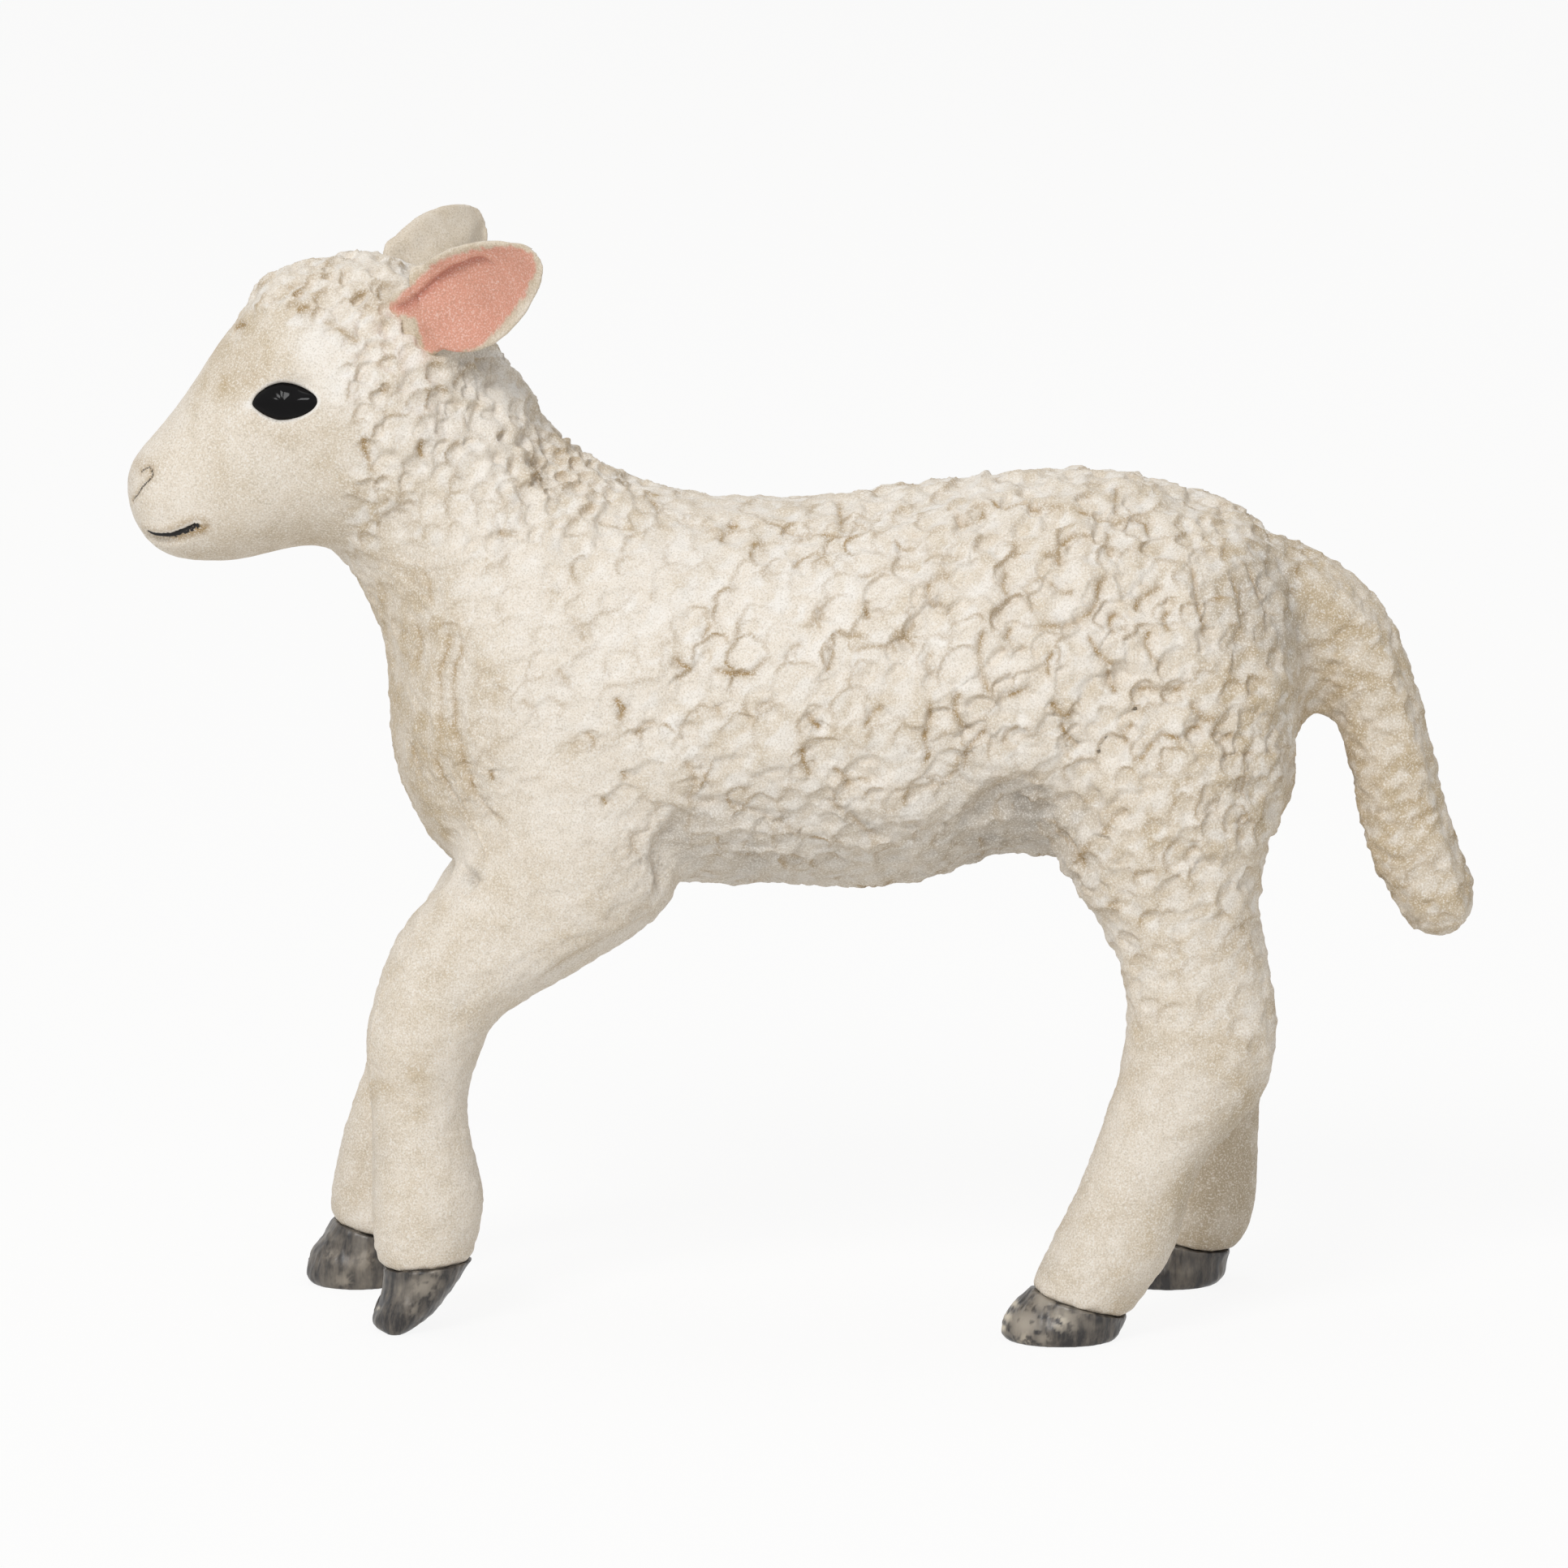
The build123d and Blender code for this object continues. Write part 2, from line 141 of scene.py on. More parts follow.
def makeMesh(name, points, faces):
    mesh = bpy.data.meshes.new(name)
    mesh.from_pydata(points.tolist(), [], faces)
    return mesh


def meshNormals(points, faces):
    return readNormals(makeMesh("normals", points, faces))


def nodeMesh(names):
    # one mesh in millimetres of copies of these CAD nodes
    points, faces, start = [], [], 0
    for name in names:
        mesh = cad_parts[name].data
        points.append(readPoints(mesh) / mm)
        for face in mesh.polygons:
            faces.append([start + corner for corner in face.vertices])
        start += len(mesh.vertices)
    return makeMesh("joined", np.concatenate(points), faces)


def largestPart(points, quads):
    # drops the small shells that a voxel skin can leave inside
    label = np.arange(len(points))
    while True:
        low = label[quads].min(axis=1)
        new = label.copy()
        for corner in range(4):
            np.minimum.at(new, quads[:, corner], low)
        new = new[new]
        if (new == label).all():
            break
        label = new
    sizes = np.bincount(label[quads[:, 0]], minlength=len(points))
    keep = label == sizes.argmax()
    place = np.cumsum(keep) - 1
    return points[keep], place[quads[keep[quads[:, 0]]]]


def voxelSkin(mesh, steps):
    # runs modifiers on the mesh in order and returns the points and quads that they give
    work = bpy.data.objects.new("work", mesh)
    bpy.context.scene.collection.objects.link(work)
    for kind, settings in steps:
        modifier = work.modifiers.new(kind.lower(), kind)
        for key, value in settings.items():
            setattr(modifier, key, value)
    graph = bpy.context.evaluated_depsgraph_get()
    made = bpy.data.meshes.new_from_object(work.evaluated_get(graph))
    bpy.data.objects.remove(work)
    return largestPart(readPoints(made), readQuads(made))


def blurOver(values, edges, times):
    # averages each point's values with its neighbours'
    counts = np.bincount(edges.ravel(), minlength=len(values))[:, None]
    for step in range(times):
        total = np.empty_like(values)
        for column in range(values.shape[1]):
            total[:, column] = np.bincount(edges[:, 0], values[edges[:, 1], column], len(values))
            total[:, column] += np.bincount(edges[:, 1], values[edges[:, 0], column], len(values))
        values = 0.5 * values + 0.5 * total / counts
    return values


def quadEdges(quads):
    pairs = np.concatenate([quads[:, [corner, (corner + 1) % 4]] for corner in range(4)])
    return np.unique(np.sort(pairs, axis=1), axis=0)


def treeOf(points, faces):
    return BVHTree.FromPolygons(points.tolist(), faces)


def nearestRows(points, rows, count):
    # for each point the distances to its nearest rows, and which they are
    tree = KDTree(len(rows))
    for index, row in enumerate(rows.tolist()):
        tree.insert(row, index)
    tree.balance()
    found = [tree.find_n(point, count) for point in points.tolist()]
    which = np.array([[near[1] for near in row] for row in found])
    far = np.array([[near[2] for near in row] for row in found])
    return far, which


def nodeSkin(name, voxel, smoothings):
    # one node as an even mesh of quads
    remesh = ("REMESH", {"mode": "VOXEL", "voxel_size": voxel})
    steps = [remesh, ("SMOOTH", {"factor": 0.5, "iterations": smoothings})]
    return voxelSkin(nodeMesh([name]), steps)


# The fused skin

skin = {
    "nodes": [
        "body", "head", "left_foreleg", "right_foreleg", "left_hind_leg", "right_hind_leg", "tail",
    ],
    "coarse": 0.2,  # mm, voxels while the joins are rounded
    "fine": 0.12,  # mm, voxels of the finished skin
    "join": 0.6,  # mm, radius that fills the angles between limbs and trunk
    "smoothings": 8,
}


def makeSkin(s):
    voxels = {"mode": "VOXEL", "voxel_size": s["coarse"]}
    steps = [
        ("REMESH", voxels),
        ("DISPLACE", {"strength": s["join"], "mid_level": 0}),
        ("REMESH", voxels),
        ("DISPLACE", {"strength": -s["join"], "mid_level": 0}),
        ("REMESH", {"mode": "VOXEL", "voxel_size": s["fine"]}),
        ("SMOOTH", {"factor": 0.5, "iterations": s["smoothings"]}),
    ]
    points, quads = voxelSkin(nodeMesh(s["nodes"]), steps)
    return points, quads, meshNormals(points, quads.tolist())


skinPoints, skinQuads, skinNormals = makeSkin(skin)
skinEdges = quadEdges(skinQuads)
skinTree = treeOf(skinPoints, skinQuads.tolist())
print("skin", len(skinPoints), "points")


# The nodes that the skin's points belong to. The borders are smoothed over the surface.

def nodeShares(points, edges, names):
    rows = [readPoints(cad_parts[name].data) / mm for name in names]
    owner = np.repeat(np.arange(len(names)), [len(row) for row in rows])
    far, which = nearestRows(points, np.concatenate(rows), 1)
    shares = np.eye(len(names))[owner[which[:, 0]]]
    return blurOver(shares, edges, 40)


skinShares = nodeShares(skinPoints, skinEdges, skin["nodes"])
print("nodes found")


# Mirror planes: the body's lies through the tail, and the head's midway between the eyes.

def nodeCentre(name):
    points = readPoints(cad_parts[name].data)
    return (points.min(axis=0) + points.max(axis=0)) / 2 / mm


def mirrorPlanes():
    left, right = nodeCentre("left_eye"), nodeCentre("right_eye")
    across = (right - left) / np.linalg.norm(right - left)
    sideways = np.array((0.0, 1.0, 0.0))
    return {"body": (nodeCentre("tail"), sideways), "head": ((left + right) / 2, across)}


def mirrored(points, plane):
    centre, across = plane
    return points - 2 * ((points - centre) @ across)[:, None] * across


def onSurface(points, tree):
    # the nearest point of the surface to each point
    return np.array([tree.find_nearest(point)[0] for point in points.tolist()])


planes = mirrorPlanes()


# Noise

noise = {"count": 40, "spread": 0.35}  # plane waves in one noise, and how far their lengths vary


def waves(points, length, way=None, s=noise):
    # noise of one size: waves about `length` mm long in every direction, with unit variance. With a
    # way, also its slope along that way, which is about 1 where it is steep.
    ways = rng.normal(size=(s["count"], 3))
    ways /= np.linalg.norm(ways, axis=1)[:, None]
    lengths = length * rng.uniform(1 - s["spread"], 1 + s["spread"], s["count"])
    phases = rng.uniform(0, 2 * math.pi, s["count"])
    total, slope = np.zeros(len(points)), np.zeros(len(points))
    for along, long, phase in zip(ways, lengths, phases):
        turn = points @ along * (2 * math.pi / long) + phase
        total += np.cos(turn)
        if way is not None:
            slope -= np.sin(turn) * (along @ way) * length / long
    total *= math.sqrt(2 / s["count"])
    return total if way is None else (total, slope * math.sqrt(6 / s["count"]))


def warped(points, length, far):
    # the points, pushed about so that patterns on them wander
    return points + far * np.stack([waves(points, length) for axis in range(3)], axis=1)


def ragged(points, wander):
    # noise of several sizes: how far each reaches, and its size in mm
    return sum(far * waves(points, size) for far, size in wander)


def smooth(low, high, values):
    t = np.clip((values - low) / (high - low), 0, 1)
    return t * t * (3 - 2 * t)


def bell(values):
    return np.exp(-(values ** 2))


# Tool marks: lines of the photograph, each pressed or raised along its length. The values are
# depth and width in millimetres and how much ochre lies in them. The skin swells beside a
# pressed line on the side towards the belly and tail, as the real wool does.

bodyMarks = [
    # haunch and back
    (0.1, 0.11, 0.8, [1375, 600, 1375, 622, 1376, 634]),
    (0.09, 0.11, 0.7, [1217, 611, 1219, 618, 1233, 626, 1255, 624, 1277, 626, 1303, 622]),
    (0.1, 0.12, 0.7, [
        1320, 618, 1323, 629, 1343, 635, 1373, 637, 1402, 635, 1413, 640, 1417, 655, 1417, 673,
    ]),
    (0.1, 0.12, 0.7, [1175, 633, 1182, 644, 1197, 642, 1211, 633, 1211, 622]),
    (0.09, 0.1, 0.7, [1142, 699, 1140, 690, 1156, 684, 1175, 686, 1186, 690]),
    (0.17, 0.14, 1, [1176, 711, 1156, 711, 1144, 721, 1145, 736, 1157, 748]),
    (0.12, 0.13, 0.9, [1237, 688, 1239, 706, 1235, 721, 1244, 736, 1230, 750, 1224, 765]),
    (0.16, 0.15, 1, [1215, 770, 1209, 783, 1206, 802, 1208, 827, 1217, 849, 1226, 860]),
    (0.13, 0.13, 0.8, [1226, 861, 1244, 857, 1263, 849, 1270, 842]),
    (0.13, 0.13, 0.9, [1334, 660, 1318, 661, 1305, 673, 1303, 688, 1308, 699]),
    (0.13, 0.13, 0.8, [1288, 712, 1270, 716, 1263, 725, 1266, 737]),
    (0.11, 0.11, 0.9, [1292, 714, 1303, 725, 1318, 730, 1325, 727]),
    (0.15, 0.14, 1, [
        1373, 705, 1362, 710, 1353, 721, 1353, 739, 1343, 754, 1321, 769, 1303, 772, 1285, 771,
        1263, 774,
    ]),
    (0.13, 0.13, 0.8, [1437, 717, 1417, 727, 1404, 736, 1400, 754]),
    (0.13, 0.12, 0.9, [1381, 750, 1370, 757, 1368, 770, 1375, 783]),
    (0.09, 0.11, 0.7, [1367, 648, 1365, 666, 1369, 684]),
    (0.12, 0.13, 0.7, [1468, 692, 1474, 714, 1475, 739, 1481, 765, 1486, 794]),
    (0.13, 0.14, 0.7, [1519, 706, 1527, 747, 1530, 772, 1521, 798]),
    (0.12, 0.14, 0.6, [1534, 688, 1545, 714, 1560, 745, 1567, 761]),
    (0.12, 0.12, 0.9, [1340, 780, 1351, 802, 1365, 816, 1376, 818]),
    (0.13, 0.13, 0.9, [1366, 822, 1368, 840, 1376, 857]),
    (0.12, 0.12, 0.7, [1402, 860, 1406, 850, 1424, 849, 1450, 849, 1464, 847]),
    (0.14, 0.13, 0.8, [1468, 860, 1472, 875, 1490, 886, 1505, 886, 1517, 874]),
    (0.13, 0.13, 0.9, [1293, 862, 1302, 874, 1314, 883, 1323, 871]),
    (0.13, 0.13, 0.8, [1307, 890, 1314, 908, 1331, 923]),
    (0.15, 0.14, 0.9, [1186, 850, 1177, 862, 1177, 878, 1186, 895, 1198, 904]),
    (0.13, 0.13, 0.8, [1189, 956, 1191, 926, 1204, 912, 1219, 897]),
    (0.12, 0.13, 0.6, [1236, 920, 1241, 904, 1257, 892]),
    (0.12, 0.13, 0.7, [1388, 918, 1385, 902, 1398, 889]),
    (0.14, 0.13, 0.8, [1391, 936, 1406, 934, 1417, 919, 1431, 904, 1450, 910, 1459, 922]),
    (0.13, 0.13, 0.7, [1459, 912, 1468, 897, 1483, 892]),
    (0.14, 0.13, 0.7, [1492, 912, 1503, 892, 1519, 881]),
    (0.13, 0.14, 0.6, [1512, 937, 1510, 915, 1523, 899]),
    (0.14, 0.14, 0.6, [1533, 955, 1536, 934, 1552, 925]),
    (0.14, 0.14, 0.5, [1563, 930, 1565, 912, 1575, 895]),
    (0.14, 0.14, 0.6, [1526, 980, 1530, 963, 1540, 951]),
    (0.13, 0.15, 0.5, [1527, 1035, 1530, 1015, 1541, 1000]),
    (0.12, 0.15, 0.5, [1486, 1010, 1494, 992, 1508, 984]),
    (0.12, 0.14, 0.6, [1354, 1036, 1362, 1022, 1373, 1007, 1391, 996]),
    (0.12, 0.14, 0.4, [1461, 1066, 1466, 1052, 1478, 1042]),
    (0.14, 0.14, 0.5, [1294, 1006, 1314, 1036, 1330, 1058, 1336, 1078]),
    (0.1, 0.14, 0.4, [1300, 1046, 1312, 1066, 1328, 1080, 1340, 1096]),
    (0.12, 0.12, 0.8, [1246, 766, 1240, 785, 1252, 800, 1270, 796]),
    (0.1, 0.12, 0.6, [1300, 800, 1290, 815, 1292, 835]),
    (0.11, 0.12, 0.7, [1420, 770, 1412, 790, 1420, 812, 1438, 822]),
    (0.1, 0.12, 0.6, [1442, 748, 1434, 764, 1440, 782]),
    # flank
    (0.16, 0.22, 0.3, [1178, 1012, 1208, 991, 1241, 960, 1263, 953, 1283, 962]),
    (0.2, 0.22, 0.1, [1246, 992, 1257, 978, 1274, 974, 1286, 988, 1291, 1010]),
    (0.1, 0.15, 0.4, [1110, 985, 1135, 972, 1160, 970, 1185, 950]),
    (0.12, 0.15, 0.4, [1013, 983, 1038, 998, 1064, 1022, 1086, 1036]),
    (0.1, 0.16, 0.3, [1085, 1020, 1110, 1012, 1140, 1020, 1170, 1010]),
    (0.1, 0.15, 0.3, [930, 1006, 956, 1012, 984, 1030, 1012, 1034]),
    (0.1, 0.15, 0.3, [960, 1052, 990, 1060, 1020, 1058, 1048, 1068]),
    (0.09, 0.15, 0.3, [900, 1048, 925, 1058, 950, 1062]),
    # middle of the back and side
    (0.1, 0.12, 0.9, [887, 668, 889, 656, 898, 647, 912, 645]),
    (0.09, 0.12, 0.6, [920, 630, 948, 645, 988, 656, 1031, 659, 1043, 667]),
    (0.11, 0.12, 0.9, [1033, 614, 1035, 638, 1038, 657]),
    (0.08, 0.12, 0.6, [974, 704, 986, 688, 1006, 681, 1014, 690]),
    (0.08, 0.12, 0.5, [1049, 706, 1064, 711, 1085, 702, 1110, 695, 1133, 695]),
    (0.1, 0.1, 1, [1004, 744, 1013, 754, 1009, 765]),
    (0.11, 0.12, 0.9, [1020, 783, 1026, 803, 1022, 821, 1015, 830]),
    (0.09, 0.12, 0.5, [966, 816, 977, 797, 992, 791]),
    (0.11, 0.13, 0.8, [872, 822, 899, 830, 927, 829, 941, 814, 957, 806]),
    (0.09, 0.13, 0.7, [1069, 736, 1067, 752, 1070, 764]),
    (0.11, 0.12, 0.9, [1118, 746, 1125, 769, 1114, 782, 1103, 793]),
    (0.08, 0.12, 0.6, [1049, 803, 1070, 797, 1103, 796]),
    (0.12, 0.13, 0.9, [1146, 858, 1146, 886, 1139, 908, 1144, 933, 1136, 948]),
    (0.12, 0.12, 0.8, [1063, 899, 1074, 880, 1090, 867]),
    (0.11, 0.12, 0.8, [994, 877, 1000, 889, 1012, 899]),
    (0.11, 0.13, 0.9, [987, 918, 990, 938, 999, 960]),
    (0.11, 0.13, 0.8, [1024, 945, 1038, 955, 1047, 974]),
    (0.1, 0.12, 0.8, [1108, 775, 1098, 790, 1104, 806]),
    (0.1, 0.12, 0.7, [1150, 800, 1140, 818, 1150, 836]),
    (0.09, 0.12, 0.5, [930, 880, 940, 868, 956, 864]),
    (0.09, 0.12, 0.5, [1100, 660, 1110, 672, 1128, 672, 1136, 660]),
    # shoulder
    (0.12, 0.13, 0.9, [826, 808, 838, 818, 850, 824, 838, 834, 828, 836]),
    (0.07, 0.12, 0.6, [867, 750, 874, 770, 864, 790]),
    (0.11, 0.13, 0.9, [756, 858, 767, 874, 762, 891]),
    (0.12, 0.13, 0.6, [780, 910, 792, 895, 811, 889]),
    (0.1, 0.12, 0.5, [833, 900, 846, 893, 860, 890]),
    (0.09, 0.12, 0.8, [687, 823, 695, 836, 703, 843]),
    (0.08, 0.1, 0.8, [602, 949, 606, 964]),
    (0.08, 0.1, 1, [742, 982, 749, 993]),
    (0.08, 0.1, 0.9, [766, 950, 771, 962]),
    (0.1, 0.15, 0.5, [841, 936, 852, 950, 856, 970, 843, 990]),
    (0.09, 0.13, 0.6, [882, 868, 887, 882]),
    (0.08, 0.15, 0.4, [700, 760, 716, 774, 722, 792]),
    (0.08, 0.15, 0.4, [640, 862, 656, 874, 664, 890]),
    (0.07, 0.14, 0.4, [720, 900, 732, 912, 730, 930]),
    # elbow, foreleg and belly behind it
    (0.26, 0.2, 0.2, [843, 990, 828, 1018, 812, 1032, 806, 1052, 811, 1072, 818, 1098]),
    (0.14, 0.2, 0.2, [846, 992, 888, 990, 921, 1001, 958, 1010]),
    (0.1, 0.14, 0.3, [816, 984, 803, 1006, 800, 1026]),
    (0.1, 0.16, 0.3, [648, 1220, 668, 1206, 701, 1180, 745, 1157, 782, 1140, 808, 1120]),
    (0.07, 0.13, 0.3, [775, 1020, 782, 1046, 798, 1064]),
    # chest
    (0.11, 0.13, 0.5, [549, 770, 551, 792, 546, 810, 540, 825, 540, 854, 542, 891, 548, 907]),
    (0.12, 0.13, 0.6, [
        569, 766, 566, 788, 567, 806, 558, 821, 555, 847, 558, 876, 556, 898, 567, 920, 572, 949,
        584, 979, 602, 1001, 624, 1015, 633, 1028,
    ]),
    (0.1, 0.11, 0.4, [535, 930, 543, 953, 551, 971, 567, 992]),
    (0.14, 0.14, 0.1, [566, 1066, 580, 1076, 591, 1090]),
    (0.08, 0.16, 0.4, [510, 760, 516, 790, 512, 820]),
    (0.07, 0.16, 0.3, [500, 900, 508, 930, 520, 955]),
    (0.08, 0.14, 0.4, [520, 700, 530, 722, 528, 745]),
    # neck
    (0.13, 0.14, 0.1, [590, 440, 592, 470, 590, 500, 582, 522, 577, 544]),
    (0.12, 0.14, 0.1, [603, 452, 604, 480, 612, 505, 618, 528]),
    (0.1, 0.12, 0.2, [562, 494, 548, 497, 541, 512, 538, 540]),
    (0.1, 0.12, 0.8, [519, 538, 517, 556, 520, 566]),
    (0.1, 0.14, 0.3, [500, 600, 490, 626, 468, 640]),
    (0.1, 0.14, 0.3, [640, 590, 643, 620, 642, 650]),
    (0.09, 0.12, 0.7, [613, 652, 622, 660, 640, 656]),
    (0.09, 0.12, 0.5, [557, 478, 566, 462, 578, 455]),
    (0.09, 0.13, 0.4, [656, 545, 664, 565, 676, 580]),
    (0.08, 0.12, 0.5, [666, 575, 672, 592, 668, 606]),
    (0.08, 0.12, 0.5, [700, 583, 705, 572, 716, 570]),
    (0.08, 0.13, 0.4, [730, 640, 760, 648, 790, 655]),
    (0.08, 0.12, 0.8, [800, 612, 808, 622, 812, 634]),
    (0.08, 0.13, 0.4, [830, 640, 855, 646, 880, 648]),
]

# Thin raised lines where the halves of the mould met, on the near side only.
flashLines = [
    (-0.06, 0.05, 0, [545, 925, 560, 960, 575, 1000, 590, 1030, 599, 1052, 598, 1067, 588, 1086]),
    (-0.05, 0.05, 0, [520, 1158, 505, 1176, 490, 1192, 474, 1214, 462, 1250, 456, 1293, 458, 1373]),
]

headMarks = [
    (0.1, 0.14, 0.9, [395, 391, 412, 402, 430, 414, 447, 425]),
    (0.09, 0.12, 0.7, [364, 383, 374, 380, 386, 380]),
    (0.1, 0.1, 0.8, [288, 404, 295, 399, 304, 402]),
    (0.07, 0.12, 0.5, [452, 388, 444, 386]),
    (0.08, 0.16, 0.4, [447, 426, 470, 424, 486, 428]),
    (0.07, 0.14, 0.4, [447, 430, 440, 455, 440, 480, 444, 505]),
    (0.07, 0.13, 0.7, [450, 535, 447, 550, 455, 570, 457, 585]),
    (0.08, 0.14, 0.4, [462, 640, 470, 625, 480, 612]),
    (0.08, 0.12, 0.6, [461, 470, 470, 480, 480, 482]),
    (0.06, 0.14, 0.4, [350, 352, 366, 348, 384, 352]),
    (0.06, 0.14, 0.3, [395, 335, 410, 344, 424, 342]),
    (0.06, 0.14, 0.3, [330, 372, 345, 366, 356, 370]),
    (0.05, 0.14, 0.3, [425, 365, 438, 360, 450, 366]),
]

mouth = {
    "line": [184, 657, 189, 659, 196, 660, 205, 660, 214, 658.5, 224, 654.5, 234, 650, 243, 646],
    "front": 0.125,  # mm, half the painted line's height at the nose
    "corner": 0.065,
    "depth": 0.10,
    "setBack": 0.22,  # mm that the lower lip stands back
    "setBackFrom": (0.07, 0.20),  # mm below the line, where it begins and is full
    "setBackTo": (0.62, 0.34),  # mm, where it ends and is still full
    "lip": 0.05,  # mm that the upper lip stands up
    "lipPlace": 0.30,  # mm above the line
    "lipWidth": 0.16,
    "reach": 1.0,  # mm around the line that it changes
    "wander": [(0.016, 0.16), (0.008, 0.07)],  # mm, reach and size of the ink's wandering
    "ochreAndShadowUnder": (0.75, 0.60, 0.25),  # ochre and painted shadow under the lower lip: strength, mm below the line where it ends and is full
    "lipOchre": (0.40, 0.14),  # strength, and half width in mm
    "paleEdge": (0.15, 0.05),  # painted highlight on the upper lip's edge: mm above the line, and half width
}
nostril = {
    "line": [
        174, 581, 178, 577.5, 183, 575, 186.5, 579, 187.6, 585, 185, 590, 179.5, 594.8, 174, 601,
        169.6, 608, 163, 617,
    ],
    "width": 0.036,  # mm
    "depth": 0.06,
    "groove": 2,  # line widths, half the groove's width
    "reach": 0.5,  # mm around the line that it changes
    "wander": [(0.010, 0.10)],
    "dark": (0.8, 0.2, 0.52, 0.16),  # ink in all, and more where, with the share of the line
    "ochre": (0.45, 0.16),  # strength, and half width in mm
}


def traced(line, tree):
    # the photo line as points on the skin, about two pixels apart
    corners = np.array(line, float).reshape(-1, 2)
    spots = []
    for first, second in zip(corners, corners[1:]):
        count = max(1, int(np.linalg.norm(second - first) / 2))
        spots += [first + (second - first) * k / count for k in range(count)]
    hits = [tree.ray_cast(*photoRay(*spot))[0] for spot in spots + [corners[-1]]]
    return np.array([hit for hit in hits if hit is not None])


def tracedPair(line, tree, plane):
    near = traced(line, tree)
    return [near, onSurface(mirrored(near, plane), tree)]


def traceAll(tree):
    # every mark on both sides of the lamb: points, depth, width, ochre
    found = []
    for marks, plane in ((bodyMarks, planes["body"]), (headMarks, planes["head"])):
        for depth, width, ochre, line in marks:
            for points in tracedPair(line, tree, plane):
                found.append((points, depth, width, ochre))
    for depth, width, ochre, line in flashLines:
        found.append((traced(line, tree), depth, width, ochre))
    return found


skinMarks = traceAll(skinTree)
skinMouth = tracedPair(mouth["line"], skinTree, planes["head"])
skinNostrils = tracedPair(nostril["line"], skinTree, planes["head"])
print("marks traced", len(skinMarks))


def nearLine(points, line, reach):
    # which points lie within reach of the line, how far, how far along it, and the way from it
    low, high = line.min(axis=0) - reach, line.max(axis=0) + reach
    inside = np.flatnonzero(((points > low) & (points < high)).all(axis=1))
    away = points[inside][:, None, :] - line[None]
    far = np.sqrt((away ** 2).sum(axis=2))
    nearest = far.argmin(axis=1)
    gap = far[np.arange(len(inside)), nearest]
    keep = gap < reach
    along = nearest / max(1, len(line) - 1)
    return inside[keep], gap[keep], along[keep], away[np.arange(len(inside)), nearest][keep]


# Eyes: glossy beads in sockets with a raised lid all round. The outline is the near eye's in the
# photograph.

eyes = {
    "outline": [
        311, 498, 318, 486, 332, 476, 347, 471.5, 363, 474, 377, 480, 388, 488, 390.5, 496,
        384, 505, 372, 512, 356, 516.5, 342, 517, 327, 511, 316, 503,
    ],
    "spread": 1.05,  # makes up for the smoothing of the outline
    "socket": 0.16,  # mm that the skin sinks under the bead
    "lid": 0.05,  # mm that the lid stands up
    "lidPlace": 0.09,  # mm outside the rim
    "lidWidth": 0.10,
    "palePlace": 0.06,  # mm outside the rim, the middle of its pale edge
    "paleWidth": 0.07,
    "reach": 2.2,  # mm around the eye that it changes
    "bead": 0.34,  # mm that the bead rises over its rim
    "sunk": 0.05,  # mm that its rim lies under the skin
    "wide": 1.02,  # of the rim's outline
    "skirt": [(1.05, 0.45), (1.03, 0.10)],  # outline and depth in mm of the hidden edge
    "base": 0.5,  # mm down to the middle of the hidden back
    "rings": 14,
}


def eyeRim(s, side):
    # the rim on the skin as a ring of points, densified, and the bead's middle and facing
    corners = s["outline"] + s["outline"][:2]
    ring = traced(corners, skinTree)[:-1]
    if side > 0:
        ring = onSurface(mirrored(ring, planes["head"]), skinTree)
    centre = ring.mean(axis=0)
    for step in range(6):
        ring = 0.5 * ring + 0.25 * (np.roll(ring, 1, axis=0) + np.roll(ring, -1, axis=0))
    ring = centre + s["spread"] * (ring - centre)
    facing = np.zeros(3)
    for first, second in zip(ring, np.roll(ring, -1, axis=0)):
        facing += np.cross(first - centre, second - centre)
    facing /= np.linalg.norm(facing)
    if facing @ (centre - nodeCentre("head")) < 0:
        facing = -facing
    return ring, centre, facing


# Finer faces where the marks, the face and the eyes need them

fineReach = {"marks": 0.30, "face": 0.60, "lines": 0.22}  # mm


def refined(points, normals, quads, shares, chosen):
    # splits the chosen quads in four and fits their neighbours to them with fans of triangles
    edges = np.sort(np.concatenate([quads[chosen][:, [c, (c + 1) % 4]] for c in range(4)]), axis=1)
    edges = np.unique(edges, axis=0)
    count = len(points)
    key = edges[:, 0] * count + edges[:, 1]

    def middle(first, second):
        wanted = np.minimum(first, second) * count + np.maximum(first, second)
        place = np.minimum(np.searchsorted(key, wanted), len(key) - 1)
        return np.where(key[place] == wanted, count + place, -1)

    mids = np.stack([middle(quads[:, c], quads[:, (c + 1) % 4]) for c in range(4)], axis=1)
    split = (mids >= 0).all(axis=1)
    mixed = (mids >= 0).any(axis=1) & ~split
    centres = np.full(len(quads), -1)
    centres[split | mixed] = count + len(edges) + np.arange((split | mixed).sum())
    quarters = [
        np.stack((quads[split, c], mids[split, c], centres[split], mids[split, c - 1]), axis=1)
        for c in range(4)
    ]
    fans = []
    for row, between, centre in zip(*(part[mixed].tolist() for part in (quads, mids, centres))):
        ring = [corner for pair in zip(row, between) for corner in pair if corner >= 0]
        fans += [[first, second, centre] for first, second in zip(ring, ring[1:] + ring[:1])]

    def grown(values):
        new = [values[corners].mean(axis=1) for corners in (edges, quads[split | mixed])]
        return np.concatenate([values] + new)

    made = np.concatenate([quads[~split & ~mixed]] + quarters)
    return grown(points), grown(normals), made, grown(shares), fans


def closeTo(points, lines, reach):
    near = np.zeros(len(points), bool)
    for line in lines:
        near[nearLine(points, line, reach)[0]] = True
    return near


